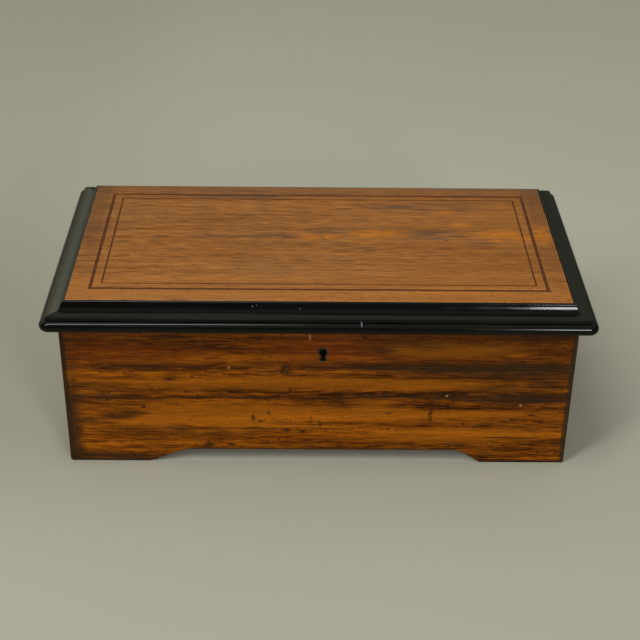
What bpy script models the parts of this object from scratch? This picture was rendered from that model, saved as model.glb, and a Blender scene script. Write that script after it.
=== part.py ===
"""Cylinder music box with a ratchet-lever winder, in a wooden case with a moulded lid.

Metres, +Z up. X runs along the front, Y from front to back, Z = 0 is the floor, and the
origin lies under the middle of the case. Every piece is one object; the pieces of a moving
body share an empty that stands on the body's joint axis.
"""
import math

import bmesh
import bpy
from mathutils import Matrix, Vector

# Clearances
FIT = 0.0003                    # between pieces that touch
RUN = 0.0003                    # round a turning shaft
SIDE_PLAY = 0.0005              # beside a lid or lever that swings
OVERRUN = 0.002                 # how far a cutter runs past the wall that it cuts
SHAFT_STAND = 0.001             # shaft end past its bearing

# Facets
SHAFT_SEGMENTS = 16
PIN_SEGMENTS = 12
DRUM_SEGMENTS = 32
SHARP_ANGLE = math.radians(35)

# Case
CASE_LENGTH = 0.400
CASE_DEPTH = 0.210
CASE_HEIGHT = 0.1262
BOARD = 0.009
BOTTOM_BOARD = 0.008
BOTTOM_RECESS = 0.0145          # underside of the bottom board above the floor
ARCH_HEIGHT = 0.0118
FOOT_LEFT = 0.0635              # flat of the front's left foot
FOOT_RIGHT = 0.0685
ARCH_RISE_LEFT = 0.036          # length of the curve from foot to arch
ARCH_RISE_RIGHT = 0.023
ARCH_BEND_LEFT = 0.45           # 0 leaves the foot in a soft curve, 1 in a sharp bend
ARCH_BEND_RIGHT = 0.95
FOOT_END = 0.030                # feet of the two ends
ARCH_RISE_END = 0.022
ARCH_BEND_END = 0.45
ARCH_STEPS = 8
FOOT_CORNER = 0.0022            # rounded outer corner of a foot

# Partitions and compartments
PARTITION = 0.006
PARTITION_DROP = 0.002          # top edge below the case's top edge
LEFT_BAY = 0.062                # the right bay is what the movement leaves

# Lid
LID_HEIGHT = 0.0211
PANEL_THICKNESS = 0.013
PANEL_INSET = 0.0060            # panel edge inside the case's outer face
MOULDING_WIDTH = 0.0189
LIP_RUN = 0.0004                # flat edge of the moulding beside the panel
SHOULDER_RADIUS = 0.0016        # rounded top of the steep face
STEEP_RUN = 0.0030              # outward run of the steep face
STEEP_DROP = 0.0052
STEEP_HOLLOW = 0.0002
BROAD_BULGE = 0.0003            # crown of the broad face below it
STEP_RUN = 0.0002               # small step between the broad face and the nose
STEP_DROP = 0.0027
NOSE_RADIUS = 0.0046
NOSE_RISE = 0.0015              # underside of the nose above the lid's underside
UNDER_BACK = 0.0033             # the lid's underside ends this far inside the nose's middle
NOSE_STEPS = 10
MITRE_GAP = 0.0002              # each moulding stops short of the diagonal
LID_CORNER = 0.0075             # rounding of the lid's vertical corners
LINE_DEPTH = 0.0004
OUTER_LINE = 0.0026
OUTER_LINE_SIDE = 0.0155        # panel edge to the line's outer edge
OUTER_LINE_FRONT = 0.0166
OUTER_LINE_BACK = 0.0149
INNER_LINE = 0.0013
LINE_STEP_SIDE = 0.0088         # outer line to inner line, outer edges
LINE_STEP_FRONT = 0.0088
LINE_STEP_BACK = 0.0085

# Hinges
HINGE_LENGTH = 0.045
HINGE_FROM_END = 0.080          # middle of a hinge to the case's end
LEAF_THICKNESS = 0.0013
LEAF_WIDTH = 0.0076
KNUCKLE_RADIUS = 0.0024
KNUCKLE_STAND = 0.0028          # hinge axis behind the case
HINGE_PIN_RADIUS = 0.0012
KNUCKLE_MIDDLE = 0.017

# Lock
KEYHOLE_X = 0.0031
KEYHOLE_DROP = 0.0166           # top of the liner below the case's top edge
LINER_WIDTH = 0.0080
LINER_HEIGHT = 0.0134
LINER_FOOT_WIDTH = 0.0056
LINER_WALL = 0.0009
LINER_DEPTH = 0.004
LINER_STAND = 0.0002
LOCK_LENGTH = 0.050
LOCK_DEPTH = 0.010
LOCK_HEIGHT = 0.032
LOCK_DROP = 0.0006              # lock's top below the case's top edge
LOCK_WALL = 0.0011
CHANNEL_LENGTH = 0.030
CHANNEL_DEPTH = 0.009
BOLT_LENGTH = 0.012
BOLT_HEIGHT = 0.0038
BOLT_WIDTH = 0.0036
BOLT_PLAY = 0.0010
STRIKER_LENGTH = 0.034
STRIKER_PLATE = 0.0012
STAPLE_THICKNESS = 0.0020
STAPLE_WIDTH = 0.0062
STAPLE_DROP = 0.0117
STAPLE_WEB = 0.0020

# Inner glass lid
GLASS_FRAME_HEIGHT = 0.007
GLASS_FRAME_DROP = 0.004        # top of the frame below the case's top edge
GLASS_FRAME_BAR = 0.013
GLASS_FRONT_GAP = 0.012         # frame to the front board, which leaves room for the lock
GLASS_BACK_GAP = 0.0035
GLASS_PIVOT_SET = 0.004         # pivot axis in from the frame's back edge
GLASS_PIVOT_RADIUS = 0.0015
GLASS_PIVOT_REACH = 0.0035
PANE_THICKNESS = 0.0025

# Movement: heights and the axes across the case
RAIL_WIDTH = 0.012
RAIL_HEIGHT = 0.0132
BED_THICKNESS = 0.005
BED_FRONT = -0.078
BED_BACK = 0.078
BED_END_GAP = 0.004             # bedplate to the partitions
AXIS_HEIGHT = 0.033             # cylinder axis above the bedplate
CYLINDER_AXIS_Y = 0.002

# Pinned cylinder
CYLINDER_RADIUS = 0.0215
CYLINDER_LENGTH = 0.150
CYLINDER_WALL = 0.0012
CYLINDER_END = 0.0025
CYLINDER_ARBOR_RADIUS = 0.003
CYLINDER_SHIFT = 0.002          # sideways travel when the air changes
CYLINDER_START_GAP = 0.004      # bearing to cylinder
BEARING_THICKNESS = 0.005
BEARING_HALF_BASE = 0.010
BEARING_HEAD = 0.007
PEDESTAL_FOOT = 0.004           # upright edge at the foot of every bearing plate

# Gear teeth
TOOTH_ADDENDUM = 0.9            # in modules
TOOTH_DEDENDUM = 1.25
TOOTH_TIP = 0.11                # half widths, as shares of the pitch
TOOTH_ROOT = 0.29

# Spring barrel and its gearing
BARREL_RADIUS = 0.027
BARREL_LENGTH = 0.036
BARREL_WALL = 0.002
BARREL_END = 0.0025
BARREL_ARBOR_RADIUS = 0.004
BRIDGE_THICKNESS = 0.004
BRIDGE_GAP = 0.002
BRIDGE_HALF_BASE = 0.018
BRIDGE_HEAD = 0.009
DRIVE_MODULE = 0.0008
DRIVE_WHEEL_TEETH = 72
DRIVE_PINION_TEETH = 24
DRIVE_WHEEL_THICKNESS = 0.004
DRIVE_PINION_LENGTH = 0.006
SPRING_TURNS = 5
SPRING_STRIP = 0.0006
SPRING_POINTS = 18              # points in each turn of the mainspring

# Governor
TRAIN_MODULE = 0.00075
GREAT_WHEEL_TEETH = 72
GOVERNOR_PINION_TEETH = 12
WORM_WHEEL_TEETH = 24
GREAT_WHEEL_THICKNESS = 0.003
GREAT_WHEEL_GAP = 0.0045        # shifted cylinder to great wheel
GOVERNOR_PINION_LENGTH = 0.007
GOVERNOR_ARBOR_RADIUS = 0.0016
GOVERNOR_PLATE = 0.003
GOVERNOR_HALF_BASE = 0.005
GOVERNOR_HEAD = 0.004
GOVERNOR_SPAN = 0.028           # between the two governor plates
GOVERNOR_END_GAP = 0.0122       # governor to the right partition
WORM_FROM_PINION = 0.0128       # middle of the pinion to the worm's plane
WORM_WHEEL_THICKNESS = 0.002
WORM_RADIUS = 0.003
WORM_THREAD_DEPTH = 0.0016
WORM_LENGTH = 0.0118
WORM_ARBOR_RADIUS = 0.0012
WORM_SEGMENTS = 16
WORM_SLICES_PER_LEAD = 8
FLY_RADIUS = 0.012
COCK_BELOW_PANE = 0.0119
FLY_BLADE = 0.0008
FLY_HUB_RADIUS = 0.0024
FLY_ABOVE_WHEEL = 0.002
COCK_ARM = 0.0035
COCK_WIDTH = 0.008
COCK_POST = 0.006
COCK_REACH = 0.004              # arm past the worm's axis
COCK_LOWER_GAP = 0.004          # worm wheel to the lower arm

# Comb
COMB_TEETH = 48
COMB_TOOTH_PITCH = 0.003
COMB_SLOT = 0.0008
COMB_THICKNESS = 0.0016
COMB_LONG_TOOTH = 0.036
COMB_SHORT_TOOTH = 0.022
COMB_HEEL = 0.016               # plate behind the longest slot
COMB_TIP_GAP = 0.0012           # room for the cylinder's pins
COMB_SCREW_X = (-0.060, 0.0, 0.060)
SCREW_HEAD_RADIUS = 0.0032
SCREW_HEAD_HEIGHT = 0.0018
SCREW_RADIUS = 0.0015
SCREW_LENGTH = 0.008

# Winding ratchet and lever
RATCHET_TEETH = 24
RATCHET_RADIUS = 0.015
RATCHET_TOOTH = 0.0022
RATCHET_THICKNESS = 0.004
RATCHET_FROM_PARTITION = 0.0015
LEVER_THICKNESS = 0.005
ARBOR_PAST_LEVER = 0.004
LEVER_REACH = 0.085
LEVER_HUB = 0.0085
LEVER_TIP = 0.005
LEVER_REST = math.radians(210)  # direction of the arm at rest, from +Y towards +Z
KNOB_RADIUS = 0.0065
KNOB_LENGTH = 0.022
KNOB_SHAPE = (                  # shares of the knob's length and radius
    (0.0, 0.0), (0.0, 0.62), (0.25, 0.55), (0.45, 0.9), (0.7, 1.0), (0.92, 0.75), (1.0, 0.35), (1.0, 0.0),
)
PAWL_ON_LEVER = 0.027
PAWL_LEAD = math.radians(35)    # pawl's tip ahead of the lever arm
PAWL_BOSS = 0.0032
PAWL_PIN = 0.0016
PAWL_TIP = 0.0004
PAWL_BITE = 0.0005              # middle of the pawl's tip below the ratchet's tooth tips
PAWL_ROOM = 0.0011              # steep tooth face to the pawl's tip, so that it can lift
CLICK_PIVOT_RADIUS = 0.026
CLICK_PIVOT_ANGLE = math.radians(85)
CLICK_TIP_ANGLE = math.radians(50)

# Controls in the right bay
CONTROL_PLATE = 0.003
CONTROL_HEIGHT = 0.070          # pivots above the floor
CONTROL_PIVOT_Y = (-0.045, 0.005)
CONTROL_PLATE_MARGIN = 0.010
CONTROL_PIN = 0.002
CONTROL_LEVER = 0.042
CONTROL_LEVER_THICKNESS = 0.003
CONTROL_HUB = 0.0055
CONTROL_TIP = 0.0042
CONTROL_REST = math.radians(102)

# Places worked out from the sizes
FRONT_Y = -CASE_DEPTH / 2
BACK_Y = CASE_DEPTH / 2
INNER_X = CASE_LENGTH / 2 - BOARD
INNER_FRONT_Y = FRONT_Y + BOARD
INNER_BACK_Y = BACK_Y - BOARD
BOTTOM_TOP = BOTTOM_RECESS + BOTTOM_BOARD
LID_BOTTOM = CASE_HEIGHT + FIT
LID_TOP = LID_BOTTOM + LID_HEIGHT
KEYHOLE_TOP_Z = CASE_HEIGHT - KEYHOLE_DROP
PANEL_X = CASE_LENGTH / 2 - PANEL_INSET
PANEL_Y = CASE_DEPTH / 2 - PANEL_INSET
HINGE_FROM_MIDDLE = CASE_LENGTH / 2 - HINGE_FROM_END
HINGE_Y = BACK_Y + KNUCKLE_STAND
HINGE_Z = CASE_HEIGHT + FIT / 2

LEFT_PARTITION_X = -INNER_X + LEFT_BAY          # left face
LEFT_PARTITION_INNER = LEFT_PARTITION_X + PARTITION

BED_BOTTOM = BOTTOM_TOP + FIT + RAIL_HEIGHT + FIT
BED_TOP = BED_BOTTOM + BED_THICKNESS
STAND_Z = BED_TOP + FIT                          # feet of what stands on the bedplate
AXIS_Z = BED_TOP + AXIS_HEIGHT

DRIVE_DISTANCE = DRIVE_MODULE * (DRIVE_WHEEL_TEETH + DRIVE_PINION_TEETH) / 2
BARREL_Y = CYLINDER_AXIS_Y + DRIVE_DISTANCE
GOVERNOR_DISTANCE = TRAIN_MODULE * (GREAT_WHEEL_TEETH + GOVERNOR_PINION_TEETH) / 2
GOVERNOR_Y = CYLINDER_AXIS_Y + GOVERNOR_DISTANCE
WORM_WHEEL_RADIUS = TRAIN_MODULE * WORM_WHEEL_TEETH / 2
WORM_Y = GOVERNOR_Y + WORM_WHEEL_RADIUS + WORM_RADIUS
WORM_LEAD = math.pi * TRAIN_MODULE

BRIDGE_LEFT_X = LEFT_PARTITION_INNER + BED_END_GAP
BARREL_X = BRIDGE_LEFT_X + BRIDGE_THICKNESS + BRIDGE_GAP
DRIVE_WHEEL_X = BARREL_X + BARREL_LENGTH + FIT
BRIDGE_RIGHT_X = DRIVE_WHEEL_X + DRIVE_WHEEL_THICKNESS + BRIDGE_GAP
DRIVE_PINION_X = DRIVE_WHEEL_X + (DRIVE_WHEEL_THICKNESS - DRIVE_PINION_LENGTH) / 2
BEARING_LEFT_X = DRIVE_PINION_X + DRIVE_PINION_LENGTH + BRIDGE_GAP
CYLINDER_X = BEARING_LEFT_X + BEARING_THICKNESS + CYLINDER_START_GAP
CYLINDER_END_X = CYLINDER_X + CYLINDER_LENGTH
GREAT_WHEEL_X = CYLINDER_END_X + CYLINDER_SHIFT + GREAT_WHEEL_GAP
BEARING_RIGHT_X = GREAT_WHEEL_X + GREAT_WHEEL_THICKNESS + CYLINDER_START_GAP
GOVERNOR_PINION_X = GREAT_WHEEL_X + (GREAT_WHEEL_THICKNESS - GOVERNOR_PINION_LENGTH) / 2
GOVERNOR_LEFT_X = GOVERNOR_PINION_X - BRIDGE_GAP - GOVERNOR_PLATE
GOVERNOR_RIGHT_X = GOVERNOR_LEFT_X + GOVERNOR_PLATE + GOVERNOR_SPAN
WORM_X = GOVERNOR_PINION_X + GOVERNOR_PINION_LENGTH / 2 + WORM_FROM_PINION
RIGHT_PARTITION_INNER = GOVERNOR_RIGHT_X + GOVERNOR_PLATE + GOVERNOR_END_GAP
RIGHT_PARTITION_X = RIGHT_PARTITION_INNER + PARTITION       # right face

LEVER_OUT_X = LEFT_PARTITION_X - RATCHET_FROM_PARTITION
RATCHET_X = LEVER_OUT_X - RATCHET_THICKNESS
LEVER_X = RATCHET_X - FIT - LEVER_THICKNESS


def clear_scene():
    """Remove what the file holds, so that the part starts from nothing."""
    for item in list(bpy.data.objects):
        bpy.data.objects.remove(item, do_unlink=True)


def make_material(name, colour, roughness, metallic=0.0, alpha=1.0):
    """A Principled material with one colour."""
    material = bpy.data.materials.new(name)
    material.use_nodes = True
    shader = material.node_tree.nodes["Principled BSDF"]
    shader.inputs["Base Color"].default_value = (*colour, 1.0)
    shader.inputs["Roughness"].default_value = roughness
    shader.inputs["Metallic"].default_value = metallic
    shader.inputs["Alpha"].default_value = alpha
    material.diffuse_color = (*colour, alpha)
    return material


def make_materials():
    """Every material of the part, by name."""
    return {
        "front_wood": make_material("front_wood", (0.20, 0.075, 0.022), 0.38),
        "lid_wood": make_material("lid_wood", (0.33, 0.145, 0.060), 0.45),
        "ebonised": make_material("ebonised", (0.006, 0.006, 0.006), 0.16),
        "inner_wood": make_material("inner_wood", (0.16, 0.070, 0.030), 0.5),
        "brass": make_material("brass", (0.62, 0.44, 0.17), 0.3, 1.0),
        "steel": make_material("steel", (0.48, 0.48, 0.47), 0.28, 1.0),
        "glass": make_material("glass", (0.85, 0.92, 0.90), 0.05, 0.0, 0.3),
    }


def make_pivot(name, place, parent=None):
    """An empty on a joint's axis, which carries the pieces of one moving body."""
    empty = bpy.data.objects.new(name, None)
    empty.empty_display_size = 0.01
    bpy.context.collection.objects.link(empty)
    origin = Vector(place)
    if parent is not None:
        empty.parent = parent
        origin = origin - world_place(parent)
    empty.location = origin
    return empty


def world_place(item):
    """World location of an empty, added up along its parents."""
    place = Vector(item.location)
    while item.parent is not None:
        item = item.parent
        place = place + item.location
    return place


def put(name, mesh, material, carrier=None, smooth=True):
    """Turn a bmesh in world places into an object, parented to its body's empty."""
    bmesh.ops.remove_doubles(mesh, verts=mesh.verts, dist=1e-7)
    bmesh.ops.recalc_face_normals(mesh, faces=mesh.faces)
    if carrier is not None:
        bmesh.ops.translate(mesh, verts=mesh.verts, vec=-world_place(carrier))
    data = bpy.data.meshes.new(name)
    mesh.to_mesh(data)
    mesh.free()
    if smooth:
        data.shade_smooth()
        data.set_sharp_from_angle(angle=SHARP_ANGLE)
    if material is not None:
        data.materials.append(material)
    item = bpy.data.objects.new(name, data)
    bpy.context.collection.objects.link(item)
    item.parent = carrier
    return item


def boolean(target, mesh, operation):
    """Apply a live Boolean with a hidden guide object made from the bmesh."""
    guide = put(target.name + "_guide", mesh, None, smooth=False)
    guide.hide_render = True
    guide.display_type = "WIRE"
    modifier = target.modifiers.new(operation.lower(), "BOOLEAN")
    modifier.operation = operation
    modifier.object = guide
    modifier.solver = "EXACT"


def cut(target, *meshes):
    """Cut each shape out of the target."""
    for mesh in meshes:
        boolean(target, mesh, "DIFFERENCE")


def join(target, *meshes):
    """Join each shape to the target as one body."""
    for mesh in meshes:
        boolean(target, mesh, "UNION")


def box(low, high):
    """A box between two corners."""
    mesh = bmesh.new()
    bmesh.ops.create_cube(mesh, size=1.0)
    size = [high[i] - low[i] for i in range(3)]
    middle = [(high[i] + low[i]) / 2 for i in range(3)]
    bmesh.ops.scale(mesh, verts=mesh.verts, vec=size)
    bmesh.ops.translate(mesh, verts=mesh.verts, vec=middle)
    return mesh


def on_axis(axis, along, first, second):
    """A point from its place along an axis and its two places across it."""
    if axis == "X":
        return (along, first, second)
    if axis == "Y":
        return (first, along, second)
    return (first, second, along)


def prism(outline, axis, low, high):
    """A flat outline drawn across an axis and carried along it from low to high."""
    mesh = bmesh.new()
    ends = []
    for along in (low, high):
        ends.append([mesh.verts.new(on_axis(axis, along, a, b)) for a, b in outline])
    mesh.faces.new(ends[0])
    mesh.faces.new(ends[1])
    count = len(outline)
    for i in range(count):
        j = (i + 1) % count
        mesh.faces.new((ends[0][i], ends[0][j], ends[1][j], ends[1][i]))
    bmesh.ops.recalc_face_normals(mesh, faces=mesh.faces)
    return mesh


def lathe(profile, axis, centre, segments=SHAFT_SEGMENTS):
    """Turn a closed profile of (along, radius) points about an axis.

    A profile that starts and ends at radius 0 is a solid bar, any other one is a ring.
    """
    mesh = bmesh.new()
    rings = []
    for along, radius in profile:
        if radius == 0.0:
            rings.append([mesh.verts.new(on_axis(axis, along, *centre))])
            continue
        ring = []
        for k in range(segments):
            angle = 2 * math.pi * k / segments
            first = centre[0] + radius * math.cos(angle)
            second = centre[1] + radius * math.sin(angle)
            ring.append(mesh.verts.new(on_axis(axis, along, first, second)))
        rings.append(ring)
    solid_bar = len(rings[0]) == 1
    pairs = len(rings) - 1 if solid_bar else len(rings)
    for i in range(pairs):
        one, two = rings[i], rings[(i + 1) % len(rings)]
        for k in range(segments):
            m = (k + 1) % segments
            if len(one) == 1:
                mesh.faces.new((one[0], two[m], two[k]))
            elif len(two) == 1:
                mesh.faces.new((one[k], one[m], two[0]))
            else:
                mesh.faces.new((one[k], one[m], two[m], two[k]))
    bmesh.ops.recalc_face_normals(mesh, faces=mesh.faces)
    return mesh


def rod(axis, centre, low, high, radius, segments=SHAFT_SEGMENTS):
    """A plain round bar."""
    profile = [(low, 0.0), (low, radius), (high, radius), (high, 0.0)]
    return lathe(profile, axis, centre, segments)


def arc(centre, radius, start, end, steps):
    """Points on an arc, both ends included."""
    points = []
    for k in range(steps + 1):
        angle = start + (end - start) * k / steps
        points.append((centre[0] + radius * math.cos(angle), centre[1] + radius * math.sin(angle)))
    return points


def polar(centre, radius, angle):
    """A point at a radius and an angle from a centre."""
    return (centre[0] + radius * math.cos(angle), centre[1] + radius * math.sin(angle))


def link_outline(first, first_radius, second, second_radius, steps=6):
    """Outline of two round ends joined by their common tangents."""
    run = Vector(second) - Vector(first)
    heading = math.atan2(run.y, run.x)
    lean = math.acos((first_radius - second_radius) / run.length)
    points = arc(second, second_radius, heading - lean, heading + lean, steps)
    points += arc(first, first_radius, heading + lean, heading - lean + 2 * math.pi, steps)
    return points


def gear_outline(centre, teeth, module, phase):
    """Straight-flanked teeth with play; the first tooth's middle stands at the phase."""
    step = 2 * math.pi / teeth
    tip = module * (teeth / 2 + TOOTH_ADDENDUM)
    root = module * (teeth / 2 - TOOTH_DEDENDUM)
    corners = ((root, -TOOTH_ROOT), (tip, -TOOTH_TIP), (tip, TOOTH_TIP), (root, TOOTH_ROOT))
    points = []
    for k in range(teeth):
        middle = phase + k * step
        for radius, share in corners:
            points.append(polar(centre, radius, middle + share * step))
    return points


def arch_rise(bend):
    """Heights of an arch's curve from its foot up, in equal steps along it."""
    heights = []
    for k in range(ARCH_STEPS + 1):
        share = k / ARCH_STEPS
        soft = (1 - math.cos(math.pi * share)) / 2
        sharp = math.sin(0.5 * math.pi * share)
        heights.append((share, ARCH_HEIGHT * (bend * sharp + (1 - bend) * soft)))
    return heights


def arch_points(foot_low, foot_high, low, high):
    """Bottom edge of a board with two feet and a shallow arch, from low to high.

    Each foot is its flat length, the length of its curve and the curve's bend.
    """
    points = arc((low + FOOT_CORNER, FOOT_CORNER), FOOT_CORNER, math.pi, 1.5 * math.pi, 3)
    flat, run, bend = foot_low
    for share, lift in arch_rise(bend):
        points.append((low + flat + run * share, lift))
    flat, run, bend = foot_high
    for share, lift in reversed(arch_rise(bend)):
        points.append((high - flat - run * share, lift))
    points += arc((high - FOOT_CORNER, FOOT_CORNER), FOOT_CORNER, 1.5 * math.pi, 2 * math.pi, 3)
    return points


def liner_outline(grow):
    """Keyhole shape: a round head and a narrower foot, grown by a margin."""
    head = LINER_WIDTH / 2 + grow
    foot = LINER_FOOT_WIDTH / 2 + grow
    head_z = KEYHOLE_TOP_Z - LINER_WIDTH / 2
    foot_z = KEYHOLE_TOP_Z - LINER_HEIGHT + LINER_FOOT_WIDTH / 2
    neck = math.acos(foot / head)
    points = arc((KEYHOLE_X, head_z), head, -neck, math.pi + neck, 20)
    points += arc((KEYHOLE_X, foot_z), foot, math.pi, 2 * math.pi, 8)
    return points


def make_case(mats):
    """Front, back, ends and bottom, with the keyhole and the hinge mortises."""
    wood = mats["front_wood"]
    half = CASE_LENGTH / 2
    left_foot = (FOOT_LEFT, ARCH_RISE_LEFT, ARCH_BEND_LEFT)
    right_foot = (FOOT_RIGHT, ARCH_RISE_RIGHT, ARCH_BEND_RIGHT)
    front_edge = arch_points(left_foot, right_foot, -half, half)
    outline = front_edge + [(half, CASE_HEIGHT), (-half, CASE_HEIGHT)]
    front = put("case_front", prism(outline, "Y", FRONT_Y, INNER_FRONT_Y), wood)
    cut(
        front,
        prism(liner_outline(FIT), "Y", FRONT_Y - OVERRUN, FRONT_Y + LINER_DEPTH + FIT),
        prism(liner_outline(-LINER_WALL), "Y", FRONT_Y, INNER_FRONT_Y + OVERRUN),
    )
    back = put("case_back", prism(outline, "Y", INNER_BACK_Y, BACK_Y), wood)
    for side in (-1, 1):
        cut(back, hinge_mortise(side))

    low = INNER_FRONT_Y + FIT
    high = INNER_BACK_Y - FIT
    end_foot = (FOOT_END, ARCH_RISE_END, ARCH_BEND_END)
    end_edge = arch_points(end_foot, end_foot, low, high)
    outline = end_edge + [(high, CASE_HEIGHT), (low, CASE_HEIGHT)]
    put("case_left_end", prism(outline, "X", -half, -INNER_X), wood)
    put("case_right_end", prism(outline, "X", INNER_X, half), wood)

    low = (-INNER_X + FIT, INNER_FRONT_Y + FIT, BOTTOM_RECESS)
    high = (INNER_X - FIT, INNER_BACK_Y - FIT, BOTTOM_TOP)
    put("case_bottom", box(low, high), mats["inner_wood"])


def hinge_mortise(side):
    """Room in the back board's top edge for one case leaf."""
    middle = side * HINGE_FROM_MIDDLE
    reach = HINGE_LENGTH / 2 + FIT
    low = (middle - reach, BACK_Y - LEAF_WIDTH - FIT, CASE_HEIGHT - LEAF_THICKNESS - 2 * FIT)
    high = (middle + reach, BACK_Y + OVERRUN, CASE_HEIGHT + OVERRUN)
    return box(low, high)


def make_partitions(mats):
    """Two upright boards that part the bays from the movement."""
    low_z = BOTTOM_TOP + FIT
    high_z = CASE_HEIGHT - PARTITION_DROP
    centre = glass_pivot_place()
    places = (("partition_left", LEFT_PARTITION_X), ("partition_right", RIGHT_PARTITION_INNER))
    for name, low_x in places:
        low = (low_x, INNER_FRONT_Y + FIT, low_z)
        high = (low_x + PARTITION, INNER_BACK_Y - FIT, high_z)
        board = put(name, box(low, high), mats["inner_wood"])
        start = low_x - OVERRUN
        end = low_x + PARTITION + OVERRUN
        cut(board, rod("X", centre, start, end, GLASS_PIVOT_RADIUS + RUN, PIN_SEGMENTS))
        if name == "partition_left":
            cut(board, rod("X", (BARREL_Y, AXIS_Z), start, end, BARREL_ARBOR_RADIUS + 2 * FIT))
            place = polar((BARREL_Y, AXIS_Z), CLICK_PIVOT_RADIUS, CLICK_PIVOT_ANGLE)
            join(board, rod("X", place, RATCHET_X, low_x + PARTITION / 2, PAWL_PIN))


def keyhole_ring():
    """The liner's outer body and the hole to cut from it."""
    body = prism(liner_outline(0.0), "Y", FRONT_Y - LINER_STAND, FRONT_Y + LINER_DEPTH)
    hole = prism(liner_outline(-LINER_WALL), "Y", FRONT_Y - OVERRUN, FRONT_Y + LINER_DEPTH + OVERRUN)
    return body, hole


def lock_places():
    """Top, channel floor and middle of the lock across the case."""
    top = CASE_HEIGHT - LOCK_DROP
    floor = top - CHANNEL_DEPTH
    middle_y = INNER_FRONT_Y + FIT + LOCK_DEPTH / 2
    return top, floor, middle_y


def make_lock(mats):
    """Keyhole liner, lock body with the bolt's channel, sliding bolt."""
    body, hole = keyhole_ring()
    liner = put("keyhole_liner", body, mats["brass"])
    cut(liner, hole)

    top, floor, middle_y = lock_places()
    half_depth = LOCK_DEPTH / 2
    low = (KEYHOLE_X - LOCK_LENGTH / 2, middle_y - half_depth, top - LOCK_HEIGHT)
    high = (KEYHOLE_X + LOCK_LENGTH / 2, middle_y + half_depth, top)
    lock = put("lock_body", box(low, high), mats["brass"])
    inside = half_depth - LOCK_WALL
    low = (KEYHOLE_X - CHANNEL_LENGTH / 2, middle_y - inside, floor)
    high = (KEYHOLE_X + CHANNEL_LENGTH / 2, middle_y + inside, top + OVERRUN)
    pit_half = STAPLE_THICKNESS / 2 + SIDE_PLAY + FIT
    pit_low = (KEYHOLE_X - pit_half, middle_y - inside, top - STAPLE_DROP - 2 * SIDE_PLAY)
    pit_high = (KEYHOLE_X + pit_half, middle_y + inside, top + OVERRUN)
    cut(lock, box(low, high), box(pit_low, pit_high))

    start = KEYHOLE_X - STAPLE_THICKNESS / 2 - BOLT_PLAY - BOLT_LENGTH
    carrier = make_pivot("bolt_slide_axis", (start, middle_y, floor + FIT + BOLT_HEIGHT / 2))
    low = (start, middle_y - BOLT_WIDTH / 2, floor + FIT)
    high = (start + BOLT_LENGTH, middle_y + BOLT_WIDTH / 2, floor + FIT + BOLT_HEIGHT)
    put("lock_bolt", box(low, high), mats["steel"], carrier)


def moulding_profile():
    """Closed profile of (outward, down) points, from the panel's edge over the nose."""
    points = [(FIT, 0.0)]
    points += arc((LIP_RUN, SHOULDER_RADIUS), SHOULDER_RADIUS, -math.pi / 2, 0.0, 3)
    top = (LIP_RUN + SHOULDER_RADIUS, SHOULDER_RADIUS)
    foot = (top[0] + STEEP_RUN, top[1] + STEEP_DROP)
    points += sagging_line(top, foot, -STEEP_HOLLOW, 2)
    nose = (MOULDING_WIDTH - NOSE_RADIUS, LID_HEIGHT - NOSE_RISE - NOSE_RADIUS)
    edge = (nose[0] - STEP_RUN, nose[1] - NOSE_RADIUS - STEP_DROP)
    points.append(foot)
    points += sagging_line(foot, edge, BROAD_BULGE, 4)
    points.append(edge)
    points += arc(nose, NOSE_RADIUS, -math.pi / 2, math.pi / 2, NOSE_STEPS)
    under = nose[0] - UNDER_BACK
    points.append((under, LID_HEIGHT - NOSE_RISE))
    points.append((under, LID_HEIGHT))
    points.append((FIT, LID_HEIGHT))
    return points


def sagging_line(start, end, bulge, steps):
    """Points between two ends of a profile, bowed outwards by the bulge, without the ends."""
    run = Vector(end) - Vector(start)
    outward = Vector((run.y, -run.x)).normalized()
    points = []
    for k in range(1, steps):
        share = k / steps
        place = Vector(start) + run * share + outward * bulge * math.sin(math.pi * share)
        points.append(tuple(place))
    return points


def moulding(half_run, half_across, facing):
    """One mitred length of the lid's moulding, along its side of the panel.

    half_run is half the panel's size along the moulding and half_across half the size
    across it. facing turns the length from the front (0) by quarter turns.
    """
    profile = moulding_profile()
    corner_start = MOULDING_WIDTH - LID_CORNER
    steps = 4
    mesh = bmesh.new()
    sections = []
    for side in (-1, 1):
        order = range(steps + 1) if side < 0 else range(steps, -1, -1)
        for k in order:
            turn = math.pi / 4 * (1 - k / steps)
            ring = []
            for out, down in profile:
                radius = out - corner_start
                if radius < FIT:
                    radius = 0.0
                hub = out - radius
                along = half_run - MITRE_GAP + hub + radius * math.sin(turn)
                across = half_across + hub + radius * math.cos(turn)
                ring.append(mesh.verts.new((side * along, -across, LID_TOP - down)))
            sections.append(ring)
    count = len(profile)
    for one, two in zip(sections, sections[1:]):
        for i in range(count):
            j = (i + 1) % count
            corners = (one[i], one[j], two[j], two[i])
            if (one[i].co - two[i].co).length < 1e-8 and (one[j].co - two[j].co).length < 1e-8:
                continue
            mesh.faces.new(corners)
    mesh.faces.new(sections[0])
    mesh.faces.new(sections[-1])
    bmesh.ops.remove_doubles(mesh, verts=mesh.verts, dist=1e-7)
    bmesh.ops.triangulate(mesh, faces=mesh.faces)
    bmesh.ops.rotate(mesh, verts=mesh.verts, matrix=Matrix.Rotation(facing * math.pi / 2, 3, "Z"))
    return mesh


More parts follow.
